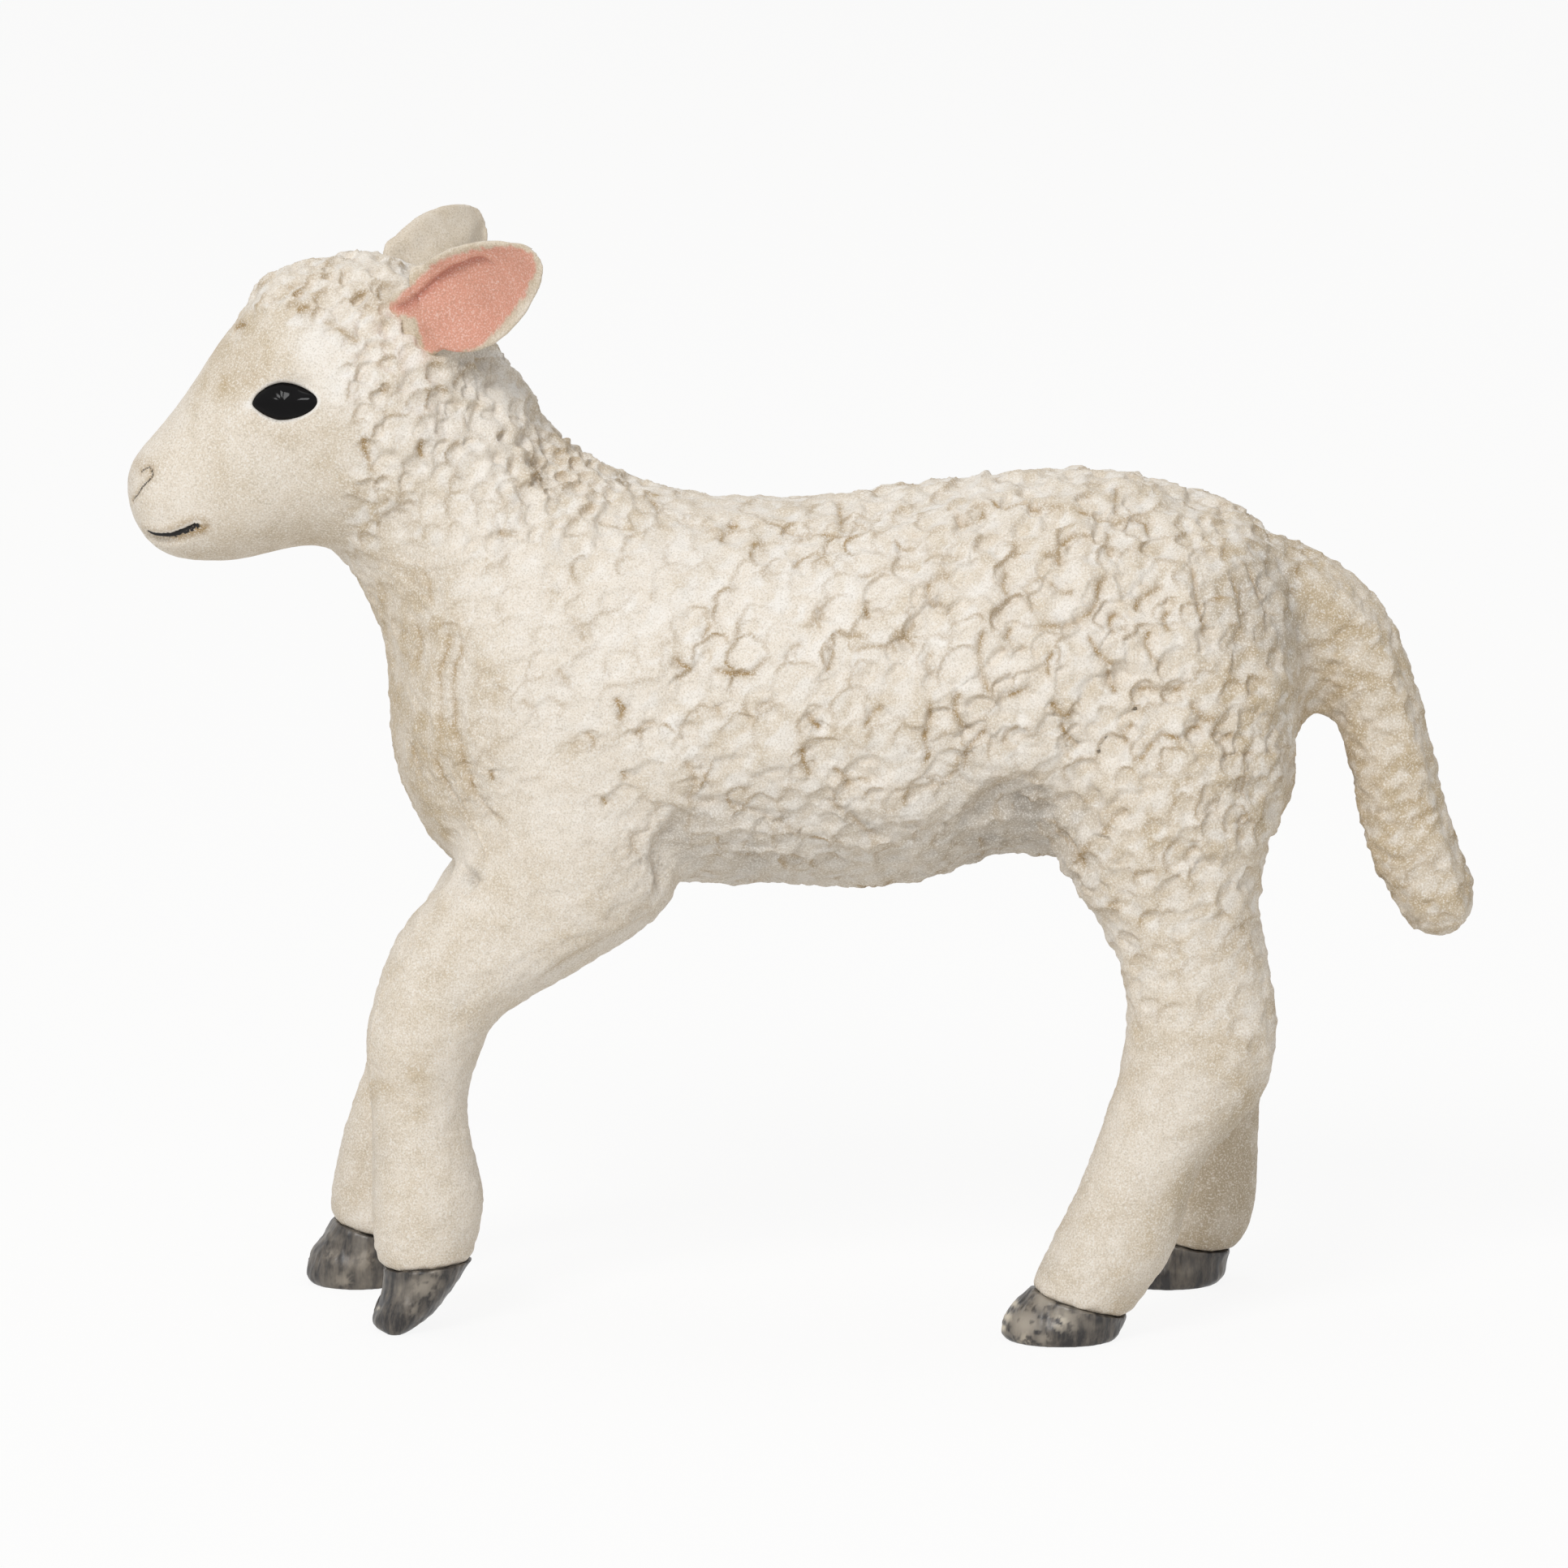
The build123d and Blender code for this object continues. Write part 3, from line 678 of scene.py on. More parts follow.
def refineSkin(s):
    faceLines = skinMouth + skinNostrils + [eyeRim(eyes, side)[0] for side in (-1, 1)]
    near = closeTo(skinPoints, [mark[0] for mark in skinMarks], s["marks"])
    near |= closeTo(skinPoints, faceLines, s["face"])
    points, normals, quads, shares, fans = refined(
        skinPoints, skinNormals, skinQuads, skinShares, near[skinQuads].any(axis=1)
    )
    chosen = closeTo(points, faceLines, s["lines"])[quads].any(axis=1)
    points, normals, quads, shares, more = refined(points, normals, quads, shares, chosen)
    normals /= np.linalg.norm(normals, axis=1)[:, None]
    return points, normals, quads.tolist() + fans + more, shares


points, normals, faces, shares = refineSkin(fineReach)
pixels = toPhoto(points)
print("refined to", len(points), "points")


# The wool: at places of the photograph in pixels, how high its lumps stand, how far apart they
# are, and how rough the surface between is, in millimetres.

wool = {
    "spots": [
        ((200, 600), 0, 1, 0.003), ((300, 560), 0, 1, 0.003), ((350, 495), 0, 1, 0.001),
        ((330, 430), 0, 1, 0.003), ((380, 440), 0, 1, 0.003), ((400, 560), 0, 1, 0.004),
        ((330, 670), 0, 1, 0.003), ((400, 640), 0.018, 1, 0.004), ((350, 340), 0.209, 0.9, 0.012),
        ((430, 335), 0.269, 0.9, 0.015), ((380, 368), 0.269, 0.9, 0.015),
        ((450, 390), 0.359, 1, 0.015), ((470, 450), 0.262, 1, 0.015), ((490, 520), 0.218, 1, 0.015),
        ((470, 590), 0.197, 1, 0.015), ((450, 640), 0.153, 1, 0.012), ((560, 520), 0.284, 1, 0.02),
        ((620, 540), 0.35, 0.9, 0.02), ((700, 580), 0.356, 0.8, 0.02),
        ((600, 640), 0.218, 1.1, 0.018), ((500, 720), 0.078, 1.2, 0.015),
        ((560, 740), 0.093, 1.2, 0.015), ((510, 850), 0.078, 1.3, 0.015),
        ((540, 960), 0.078, 1.3, 0.015), ((640, 760), 0.093, 1.5, 0.015),
        ((700, 850), 0.109, 1.6, 0.015), ((700, 960), 0.078, 1.5, 0.012),
        ((800, 1010), 0.093, 1.3, 0.012), ((650, 1080), 0.046, 1.4, 0.01),
        ((900, 625), 0.124, 1.1, 0.015), ((1000, 640), 0.155, 1.2, 0.015),
        ((1100, 610), 0.248, 1.2, 0.015), ((1300, 610), 0.31, 1.3, 0.015),
        ((1450, 620), 0.279, 1.3, 0.015), ((1550, 720), 0.202, 1.2, 0.015),
        ((800, 720), 0.124, 1.6, 0.015), ((850, 850), 0.155, 1.6, 0.015),
        ((950, 760), 0.155, 1.7, 0.015), ((900, 950), 0.186, 1.4, 0.015),
        ((950, 1050), 0.202, 1.2, 0.015), ((1100, 1060), 0.217, 1.2, 0.015),
        ((1080, 900), 0.232, 1.5, 0.015), ((1150, 720), 0.279, 1.6, 0.015),
        ((1300, 760), 0.31, 1.6, 0.015), ((1250, 880), 0.31, 1.5, 0.015),
        ((1420, 760), 0.295, 1.4, 0.015), ((1420, 880), 0.31, 1.4, 0.015),
        ((1520, 880), 0.279, 1.3, 0.015), ((1340, 980), 0.264, 1.4, 0.015),
        ((1480, 1010), 0.248, 1.3, 0.015), ((1420, 1100), 0.171, 1.3, 0.015),
        ((1490, 1220), 0.109, 1.2, 0.015), ((1450, 1330), 0.062, 1.3, 0.012),
        ((1380, 1480), 0.031, 1.3, 0.01), ((1500, 1480), 0.031, 1.3, 0.01),
        ((600, 1180), 0.046, 1.3, 0.012), ((520, 1300), 0.031, 1.3, 0.01),
        ((520, 1480), 0.031, 1.3, 0.01), ((430, 1440), 0.031, 1.3, 0.01),
        ((1640, 720), 0.092, 1, 0.018), ((1700, 880), 0.115, 1.1, 0.018),
        ((1760, 1080), 0.127, 1.1, 0.018),
    ],
    "blur": 45.0,  # pixels over which one spot passes into the next
    "wander": (0.55, 0.09),  # shares of a scoop's length: size and reach of the push on its rim
    "large": 2.1,  # mm
    "small": 1.25,
    "patches": 4.0,  # mm, between places with more and with fewer large scoops
    "rough": 0.45,  # mm, size of the roughness
    "bare": 2.0,  # mm, between the places where the ochre is rubbed away
    "loose": (0.8, 1.6),  # mm between lumps, where the wool passes from fine to coarse
    # shares of the height: what stands before anything is cut, what the hollows, the large and the
    # small scoops cut away, and the waves that are laid on top, with their sizes in mm
    "uncut": 0.5,
    "cuts": (0.85, 0.35, 0.15),
    "waves": [(0.20, 3.2), (0.09, 0.8)],
    "painted": (0.03, 0.16),  # mm of height, where the ochre begins and is full
    "ochre": 0.8,
    "largeOchre": 0.4,  # of that, along the large scoops
}


def spotValues(pixels, spots, blur):
    # the values at each point, passing smoothly from spot to spot
    places = np.array([spot[0] for spot in spots], float)
    values = np.array([spot[1:] for spot in spots], float)
    total, weights = np.zeros((len(pixels), values.shape[1])), np.zeros(len(pixels))
    for place, value in zip(places, values):
        weight = (((pixels - place) ** 2).sum(axis=1) / blur ** 2 + 0.2) ** -2.5
        total += weight[:, None] * value
        weights += weight
    return (total / weights[:, None]).T


# towards the head and up, the side where scoops are cut sharp, and the way they run out
uphill = np.array((-0.66, -0.1, 0.74))
downhill = np.array((0.70, 0.0, -0.70))


def scoops(points, length, s):
    # shallow scoops with wandering rims, cut sharp on the uphill side and running out downhill:
    # depth, and the ochre line under the sharp rim
    size, reach = s["wander"]
    level, slope = waves(warped(points, length * size, length * reach), length, uphill)
    cut = smooth(-0.35, 0.6, -slope)
    crescent = smooth(0.03, 0.30, level) * (1 - 0.30 * smooth(0.3, 1.4, level))
    depth = cut * crescent + (1 - cut) * 0.75 * smooth(-0.3, 1.8, level)
    return depth, bell((level - 0.20) / 0.18) * smooth(0.3, 1.0, cut)


hollow = {
    "apart": 0.62,  # of the wool's spacing, between the middles of two hollows
    "radius": 0.58,  # of the spacing
    "sizes": (0.65, 1.25),  # least and most of a radius
    "depths": (0.5, 1.2),
    "rim": 0.15,  # mm over which the sharp rim drops
    "line": (0.06, 0.08),  # mm inside the rim, and half its width
    "wander": (0.9, 0.07),  # mm, size and reach of the push on the outlines
    "tries": 30000,
}


def scatter(points, apart, tries):
    # which of the points to use, picked at random so that no two lie nearer than their distance
    cell, grid, taken = apart.max(), {}, []
    for index in rng.permutation(len(points))[:tries]:
        x, y, z = (int(c) for c in points[index] // cell)
        block = [(x + i, y + j, z + k) for i in (-1, 0, 1) for j in (-1, 0, 1) for k in (-1, 0, 1)]
        near = [other for key in block for other in grid.get(key, [])]
        if near and np.linalg.norm(points[near] - points[index], axis=1).min() < apart[index]:
            continue
        grid.setdefault((x, y, z), []).append(index)
        taken.append(index)
    return taken


def scoopHollows(points, s):
    # round hollows pressed side by side, with a sharp rim uphill and a long rise downhill: depth,
    # the ochre along the sharp rim, and a painted highlight on the long rise, which faces the light
    spacing = spotValues(toPhoto(skinPoints), wool["spots"], wool["blur"])[1]
    tree = KDTree(len(points))
    for index, point in enumerate(points.tolist()):
        tree.insert(point, index)
    tree.balance()
    loose = warped(points, *s["wander"])
    place, half = s["line"]
    depth, line, pale = np.zeros(len(points)), np.zeros(len(points)), np.zeros(len(points))
    for index in scatter(skinPoints, s["apart"] * spacing, s["tries"]):
        radius = s["radius"] * spacing[index] * rng.uniform(*s["sizes"])
        strong = rng.uniform(*s["depths"])
        found = tree.find_range(skinPoints[index], radius * 1.1)
        which = np.array([near[1] for near in found], int)
        away = loose[which] - skinPoints[index]
        gap = np.linalg.norm(away, axis=1)
        sharp = smooth(-0.3, 0.6, (away @ uphill) / np.maximum(gap, 0.05))
        inside = radius - gap
        cut = smooth(0, 1, inside / (sharp * s["rim"] + (1 - sharp) * radius))
        depth[which] = np.maximum(depth[which], strong * cut)
        line[which] = np.maximum(line[which], strong * sharp * bell((inside - place) / half))
        pale[which] = np.maximum(pale[which], (1 - sharp) * smooth(0.1, 0.6, inside / radius))
    return depth, line, pale


def woolRelief(points, pixels, s):
    # the relief in mm, the ochre in it, and the painted highlight on its rises
    height, spacing, rough = spotValues(pixels, s["spots"], s["blur"])
    pressed, rimLine, rise = scoopHollows(points, hollow)
    large, largeLine = scoops(points, s["large"], s)
    small = scoops(points, s["small"], s)[0]
    patch = smooth(-1.4, 0.7, waves(points, s["patches"]))
    loose = smooth(*s["loose"], spacing)
    coarse, fine = loose * (0.45 + 0.55 * patch), (1 - 0.55 * loose) * (1.1 - 0.5 * patch)
    cuts = zip(s["cuts"], (pressed, coarse * large, fine * small))
    relief = height * (s["uncut"] - sum(share * cut for share, cut in cuts))
    relief += height * ragged(points, s["waves"]) + rough * waves(points, s["rough"])
    strong = smooth(*s["painted"], height)
    kept = smooth(-0.9, 0.6, waves(points, s["bare"]))
    ochre = np.maximum(rimLine, s["largeOchre"] * largeLine * coarse) * kept
    return relief, s["ochre"] * ochre * strong, rise * strong


relief, groovePaint, highlightPaint = woolRelief(points, pixels, wool)
print("wool modelled")


press = {
    "gain": 1.1,  # how much deeper than traced
    "reach": 1.3,  # mm beside a pressed line that it changes
    "raisedReach": 0.3,
    "rise": (0.10, 0.62),  # mm from the line where the slow rise begins, and how far it runs
    "lip": (2.2, 1.6, 0.24),  # in line widths, how far and wide the raised lip is, and its height
    "core": (0.75, 1.35),  # the ochre core: width in line widths, and strength
    "stain": (2.4, 0.22),  # the same of the haze beside it
    "pale": (0.42, 0.3, 0.6),  # mm from the line, half width and strength of the painted highlight on the rise
    "shallow": 0.07,  # mm, lines no deeper than this have no painted highlight beside them
}


def pressMarks(points, marks, relief, paint, paleAndHighlight, s):
    # Presses the marks into the relief. The skin drops sharply at the line and rises again slowly
    # beyond it. Ochre lies along the drop, and the slow rise, which faces the light, gets a painted
    # highlight.
    start, run = s["rise"]
    lipPlace, lipWidth, lipHeight = s["lip"]
    palePlace, paleWidth, paleShare = s["pale"]
    coreWidth, coreShare = s["core"]
    stainWidth, stainShare = s["stain"]
    broken = 0.72 + 0.28 * np.clip(waves(points, 0.9), -1, 1)
    for line, pressed, width, ochre in marks:
        depth = pressed * (s["gain"] if pressed > 0 else 1)
        reach = s["reach"] if depth > 0 else s["raisedReach"]
        which, gap, along, away = nearLine(points, line, reach)
        ends = smooth(0, 0.16, along) * smooth(1, 0.84, along)
        beyond = smooth(-0.35, 0.5, (away @ downhill) / np.maximum(gap, 0.03))
        profile = bell(gap / width)
        if depth > 0:
            scoop = bell((gap - start) / run) / bell(start / run)
            lip = lipHeight * bell((gap - lipPlace * width) / (lipWidth * width))
            profile = beyond * scoop + (1 - beyond) * (profile - lip)
        relief[which] += -depth * profile * ends
        laid = min(1, coreShare * ochre) * bell(gap / (coreWidth * width)) * ends * broken[which]
        laid += stainShare * ochre * bell(gap / (stainWidth * width)) * ends
        paint[which] = np.maximum(paint[which], laid)
        # painted highlight on the slow rise
        pale = paleShare * beyond * bell((gap - palePlace) / paleWidth) * ends
        paleAndHighlight[which] = np.maximum(paleAndHighlight[which], pale * (pressed > s["shallow"]))


pressMarks(points, skinMarks, relief, groovePaint, highlightPaint, press)


def rimGap(points, ring, centre, facing):
    # how far outside the rim of the eye each point lies, in mm
    level = ring[0] - centre
    level -= facing * (level @ facing)
    level /= np.linalg.norm(level)
    upright = np.cross(facing, level)
    rimX, rimY = (ring - centre) @ level, (ring - centre) @ upright
    angle = np.arctan2(rimY, rimX)
    order = np.argsort(angle)
    x, y = (points - centre) @ level, (points - centre) @ upright
    rim = np.interp(np.arctan2(y, x), angle[order], np.hypot(rimX, rimY)[order], period=2 * math.pi)
    return np.hypot(x, y) - rim


def pressEye(points, relief, side, s):
    ring, centre, facing = eyeRim(s, side)
    near = np.flatnonzero(np.linalg.norm(points - centre, axis=1) < s["reach"])
    gap = rimGap(points[near], ring, centre, facing)
    relief[near] -= s["socket"] * smooth(0.02, -0.12, gap)
    relief[near] += s["lid"] * bell((gap - s["lidPlace"]) / s["lidWidth"])
    pale = np.zeros(len(points))
    pale[near] = bell((gap - s["palePlace"]) / s["paleWidth"])
    return pale


lidPaint = np.maximum(pressEye(points, relief, -1, eyes), pressEye(points, relief, 1, eyes))


# Mouth and nostrils: dark painted lines pressed in. The lower lip stands back under the upper.

def pressMouth(points, relief, ochre, paleAndHighlight, s):
    ink = np.zeros(len(points))
    jagged = ragged(points, s["wander"])
    underShare, underEnd, underFull = s["ochreAndShadowUnder"]
    lipShare, lipSpread = s["lipOchre"]
    palePlace, paleWidth = s["paleEdge"]
    for line in skinMouth:
        which, gap, along, away = nearLine(points, line, s["reach"])
        above = smooth(-0.04, 0.04, away[:, 2])
        half = s["front"] + (s["corner"] - s["front"]) * along
        relief[which] -= s["depth"] * bell(gap / half) * smooth(1.0, 0.94, along)
        lower = smooth(*s["setBackFrom"], gap) * smooth(*s["setBackTo"], gap) * (1 - above)
        relief[which] -= s["setBack"] * lower * smooth(0.85, 0.15, along)
        relief[which] += s["lip"] * bell((gap - s["lipPlace"]) / s["lipWidth"]) * above
        spread = (gap * (0.5 + 0.5 * above) + jagged[which]) / half
        ink[which] = np.maximum(ink[which], smooth(1.12, 0.88, spread))
        # ochre with painted shadow under the lower lip, which stands back under the upper
        under = underShare * (1 - above) * smooth(underEnd, underFull, gap)
        over = lipShare * above * bell((gap - s["lipPlace"]) / lipSpread)
        ochre[which] = np.maximum(ochre[which], np.maximum(under, over))
        # painted highlight along the lit edge of the upper lip
        edge = above * bell((gap - palePlace) / paleWidth) * smooth(0.15, 0.5, along)
        paleAndHighlight[which] = np.maximum(paleAndHighlight[which], edge)
    return ink


def pressNostrils(points, relief, ochre, s):
    ink = np.zeros(len(points))
    jagged = ragged(points, s["wander"])
    share, more, place, width = s["dark"]
    ochreShare, ochreWidth = s["ochre"]
    for line in skinNostrils:
        which, gap, along = nearLine(points, line, s["reach"])[:3]
        relief[which] -= s["depth"] * bell(gap / (s["groove"] * s["width"]))
        dark = share + more * bell((along - place) / width)
        dark *= smooth(1.3, 0.7, (gap + jagged[which]) / s["width"])
        ink[which] = np.maximum(ink[which], dark)
        ochre[which] = np.maximum(ochre[which], ochreShare * bell(gap / ochreWidth))
    return ink


ochrePaint = groovePaint * 0
inkPaint = pressMouth(points, relief, ochrePaint, highlightPaint, mouth)
inkPaint = np.maximum(inkPaint, pressNostrils(points, relief, ochrePaint, nostril))
print("face modelled")


# Paint that was sprayed or brushed on, and painted shade and highlight: place in photo pixels,
# radius, ochre, grey painted shade, and white that is partly pale paint and partly painted
# highlight

sprayed = [
    ((297, 458), 24, 0.55, 0, 0), ((293, 400), 9, 0.7, 0, 0), ((374, 381), 13, 0.6, 0, 0),
    ((322, 445), 16, 0.25, 0, 0), ((172, 574), 15, 0.6, 0, 0), ((160, 592), 9, 0.4, 0, 0),
    ((250, 652), 7, 0.6, 0, 0), ((345, 540), 26, 0.18, 0, 0), ((390, 424), 30, 0, 0, 0.55),
    ((420, 470), 28, 0, 0, 0.5), ((305, 500), 7, 0, 0, 0.9), ((330, 590), 50, 0, 0, 0.2),
    ((462, 372), 13, 0.6, 0, 0), ((478, 392), 12, 0.45, 0, 0), ((545, 446), 16, 0.45, 0, 0),
    ((500, 410), 10, 0, 0, 0.5), ((575, 450), 20, 0, 0.7, 0), ((598, 440), 20, 0, 0.6, 0),
    ((480, 480), 9, 0.5, 0, 0), ((518, 551), 7, 0.6, 0, 0), ((450, 547), 9, 0.45, 0, 0),
    ((540, 620), 9, 0.35, 0, 0), ((607, 587), 6, 0.4, 0, 0), ((690, 552), 13, 0.6, 0, 0),
    ((670, 573), 10, 0.5, 0, 0), ((730, 598), 7, 0.6, 0, 0), ((807, 620), 10, 0.5, 0, 0),
    ((890, 665), 10, 0.5, 0, 0), ((510, 707), 16, 0.45, 0, 0), ((620, 658), 8, 0.4, 0, 0),
    ((694, 838), 9, 0.45, 0, 0), ((766, 876), 11, 0.5, 0, 0), ((744, 987), 6, 0.6, 0, 0),
    ((769, 956), 6, 0.5, 0, 0), ((832, 818), 14, 0.45, 0, 0), ((885, 876), 9, 0.4, 0, 0),
    ((900, 827), 12, 0.35, 0, 0), ((936, 670), 11, 0.45, 0, 0), ((992, 914), 13, 0.45, 0, 0),
    ((1069, 926), 9, 0.5, 0, 0), ((1157, 826), 12, 0.5, 0, 0), ((1112, 783), 10, 0.45, 0, 0),
    ((1043, 966), 9, 0.4, 0, 0), ((1110, 980), 9, 0.4, 0, 0), ((1233, 952), 10, 0.5, 0, 0),
    ((1160, 700), 10, 0.3, 0, 0), ((1362, 1026), 7, 0.45, 0, 0), ((1332, 1052), 11, 0.5, 0, 0),
    ((1435, 948), 9, 0.4, 0, 0), ((1540, 1160), 12, 0.35, 0, 0), ((1535, 1190), 10, 0.35, 0, 0),
    ((1555, 800), 20, 0.25, 0, 0), ((835, 1035), 26, 0, 0.75, 0), ((870, 1010), 24, 0, 0.45, 0),
    ((930, 1050), 40, 0, 0.35, 0), ((1265, 1000), 26, 0, 0.8, 0), ((1215, 1025), 26, 0, 0.5, 0),
    ((1150, 1060), 30, 0, 0.35, 0), ((582, 1078), 10, 0, 0.8, 0), ((1590, 780), 20, 0, 0.55, 0),
    ((1600, 800), 14, 0, 0.4, 0), ((1650, 880), 10, 0, 0.6, 0), ((1668, 960), 10, 0, 0.7, 0),
    ((1680, 1020), 11, 0, 0.6, 0), ((1700, 1085), 10, 0, 0.5, 0), ((560, 1230), 22, 0, 0, 0.3),
    ((590, 1440), 20, 0, 0.3, 0), ((1290, 1560), 14, 0, 0.25, 0),
]

# Paint over larger areas: beige, which is partly painted shade where the lamb turns from the light,
# grey painted shade, and ochre haze

zones = {
    "spots": [
        ((200, 600), 0.2, 0), ((330, 600), 0.42, 0), ((330, 440), 0.6, 0), ((400, 450), 0.1, 0),
        ((370, 340), 0.3, 0), ((450, 330), 0.26, 0), ((470, 520), 0.2, 0.05),
        ((330, 670), 0.52, 0.18), ((430, 660), 0.48, 0.22), ((560, 520), 0.16, 0.2),
        ((600, 620), 0.12, 0), ((680, 560), 0.46, 0.05), ((480, 760), 0.72, 0.14),
        ((500, 850), 0.82, 0.14), ((520, 960), 0.8, 0.18), ((560, 860), 0.5, 0.06),
        ((620, 740), 0.14, 0), ((700, 850), 0.04, 0), ((700, 980), 0.1, 0), ((640, 1060), 0.22, 0),
        ((800, 720), 0.06, 0), ((950, 760), 0.06, 0), ((800, 600), 0.34, 0), ((950, 625), 0.32, 0),
        ((1150, 610), 0.28, 0), ((1350, 600), 0.36, 0), ((1500, 650), 0.52, 0),
        ((1560, 720), 1, 0.75), ((900, 900), 0.2, 0), ((950, 1000), 0.28, 0.28),
        ((950, 1070), 0.3, 0.42), ((1100, 1070), 0.36, 0.38), ((1250, 1030), 0.5, 0.8),
        ((1080, 900), 0.26, 0), ((1200, 760), 0.2, 0), ((1300, 760), 0.26, 0),
        ((1300, 900), 0.28, 0), ((1420, 780), 0.36, 0), ((1420, 900), 0.38, 0),
        ((1540, 900), 0.84, 0.1), ((1570, 1000), 0.78, 0.12), ((1450, 1050), 0.5, 0),
        ((1540, 1100), 0.55, 0.05), ((1450, 1200), 0.3, 0), ((1540, 1250), 0.44, 0.05),
        ((1420, 1400), 0.24, 0.05), ((1330, 1540), 0.34, 0.08), ((1520, 1450), 0.95, 0.62),
        ((600, 1170), 0.2, 0), ((500, 1230), 0.4, 0), ((500, 1350), 0.52, 0),
        ((560, 1350), 0.1, 0.1), ((500, 1480), 0.28, 0), ((570, 1480), 0.2, 0.1),
        ((430, 1430), 0.4, 0.22), ((1640, 720), 0.84, 0.08), ((1700, 850), 0.88, 0.08),
        ((1740, 1000), 0.88, 0.08), ((1770, 1100), 0.86, 0.15),
    ],
    "blur": 45.0,
}


def sprayPaint(pixels):
    found = np.zeros((len(pixels), 3))
    for place, radius, *amounts in sprayed:
        near = bell(np.linalg.norm(pixels - place, axis=1) / radius)[:, None]
        found = np.maximum(found, near * amounts)
    return found.T


coating = {
    "haze": (0.68, 0.30, 4.5),  # share of the grooves' ochre, how much more in patches, mm between
    "uneven": [(0.06, 3.0), (0.05, 1.2)],  # how far the beige varies, mm between
    "spray": 0.5,  # of the ochre and the grey painted shade above
    "under": (0.35, 0.95, 0.12),  # painted shade on surfaces that face down: how far down it looks where it begins and is full, and its strength
    "rises": 0.5,  # painted highlight on the rises of the wool
    "lids": 0.8,
}


def layPaints(s):
    beige, shadeZone = spotValues(pixels, zones["spots"], zones["blur"])
    ochreSpray, shadeSpray, whiteSpray = sprayPaint(pixels)
    least, more, size = s["haze"]
    haze = least + more * (0.5 + 0.5 * np.clip(waves(points, size), -1, 1))
    start, full, strength = s["under"]
    under = strength * smooth(start, full, -normals[:, 2])
    layers = {
        # ochre wash and airbrush, with painted shadow under the lower lip
        "ochre": groovePaint * haze + s["spray"] * ochreSpray + ochrePaint,
        # beige paint, laid heavier in part as painted shade where the lamb turns away from the
        # light
        "beige": beige + ragged(points, s["uneven"]),
        # painted shade: the grey zones and spots, and more on surfaces that face down
        "grey": s["spray"] * (shadeZone + shadeSpray) + under,
        # near-white: painted highlight on the wool's rises and the upper lip's edge, white paint
        # and painted highlight in spots, and the pale edges of the lids
        "paleAndHighlight": s["rises"] * highlightPaint + whiteSpray + s["lids"] * lidPaint,
        "ink": inkPaint,
    }
    return {kind: np.clip(values, 0, 1) for kind, values in layers.items()}


paints = layPaints(coating)
print("paint laid")


# Cutting the skin into the pieces of the real lamb

def pushInside(points, box, margin=0.002):
    # keeps every point inside the CAD part's box, by a margin in mm
    low, high = (np.array(corner) / mm for corner in box)
    return np.clip(points, low + margin, high - margin)


shaped = pushInside(points + normals * relief[:, None], cadBox)
turned = meshNormals(shaped, faces)


def faceOwners(faces, shares):
    return np.array([shares[face].sum(axis=0).argmax() for face in faces])


def rimLoops(faces):
    # the open rims of a set of faces, as rings of corners
    after = {}
    for face in faces:
        for first, second in zip(face, face[1:] + face[:1]):
            after[(first, second)] = True
    following = {second: first for first, second in after if (second, first) not in after}
    loops = []
    while following:
        start, loop = next(iter(following)), []
        while start in following:
            loop.append(start)
            start = following.pop(start)
        loops.append(loop)
    return loops


def cutPiece(faces, index, chosen, sunk=1.2):
    # one piece of the skin, closed where it meets its neighbours by caps that lie sunk mm inside
    own = [face for face, owner in zip(faces, chosen) if owner == index]
    caps, centres = [], []
    for loop in rimLoops(own):
        middle = shaped[loop].mean(axis=0) - turned[loop].mean(axis=0) * sunk
        hub = len(shaped) + len(centres)
        centres.append(middle)
        caps += [[first, second, hub] for first, second in zip(loop, loop[1:] + loop[:1])]
    every = np.concatenate([shaped] + [np.array(centres).reshape(-1, 3)])
    used = np.unique(np.concatenate([np.array(face) for face in own + caps]))
    place = np.full(len(every), -1)
    place[used] = np.arange(len(used))
    cut = [[place[corner] for corner in face] for face in own + caps]
    return every[used], [[int(c) for c in face] for face in cut], used


def putPiece(mesh, name, nodeName, material):
    # puts a mesh made in millimetres into the scene as a piece that rides on the one body
    mesh.transform(Matrix.Scale(mm, 4))
    mesh.shade_smooth()
    piece = bpy.data.objects.new(name, mesh)
    bpy.context.scene.collection.objects.link(piece)
    mesh.materials.append(material)
    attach(piece, "root")
    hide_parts(nodeName)
    return piece


def writePaint(mesh, name, values):
    layer = mesh.attributes.new(name, "FLOAT", "POINT")
    layer.data.foreach_set("value", np.asarray(values, np.float32))


# Materials

def toLinear(code):
    # an sRGB hex colour as linear light
    parts = [int(code[i : i + 2], 16) / 255 for i in (1, 3, 5)]
    return [p / 12.92 if p <= 0.04045 else ((p + 0.055) / 1.055) ** 2.4 for p in parts] + [1]


def addNode(tree, kind, settings, links=None):
    # adds a node, sets its properties and sockets, and links other nodes' outputs to it
    node = tree.nodes.new(kind)
    for key, value in settings.items():
        if hasattr(node, str(key)):
            setattr(node, key, value)
        else:
            node.inputs[key].default_value = value
    for key, output in (links or {}).items():
        tree.links.new(output, node.inputs[key])
    return node


def blank(name):
    material = bpy.data.materials.new(name)
    material.use_nodes = True
    material.node_tree.nodes.clear()
    return material, material.node_tree


def perMetre(size):
    # texture scale for a pattern that repeats after this many millimetres
    return 1 / (size * mm)


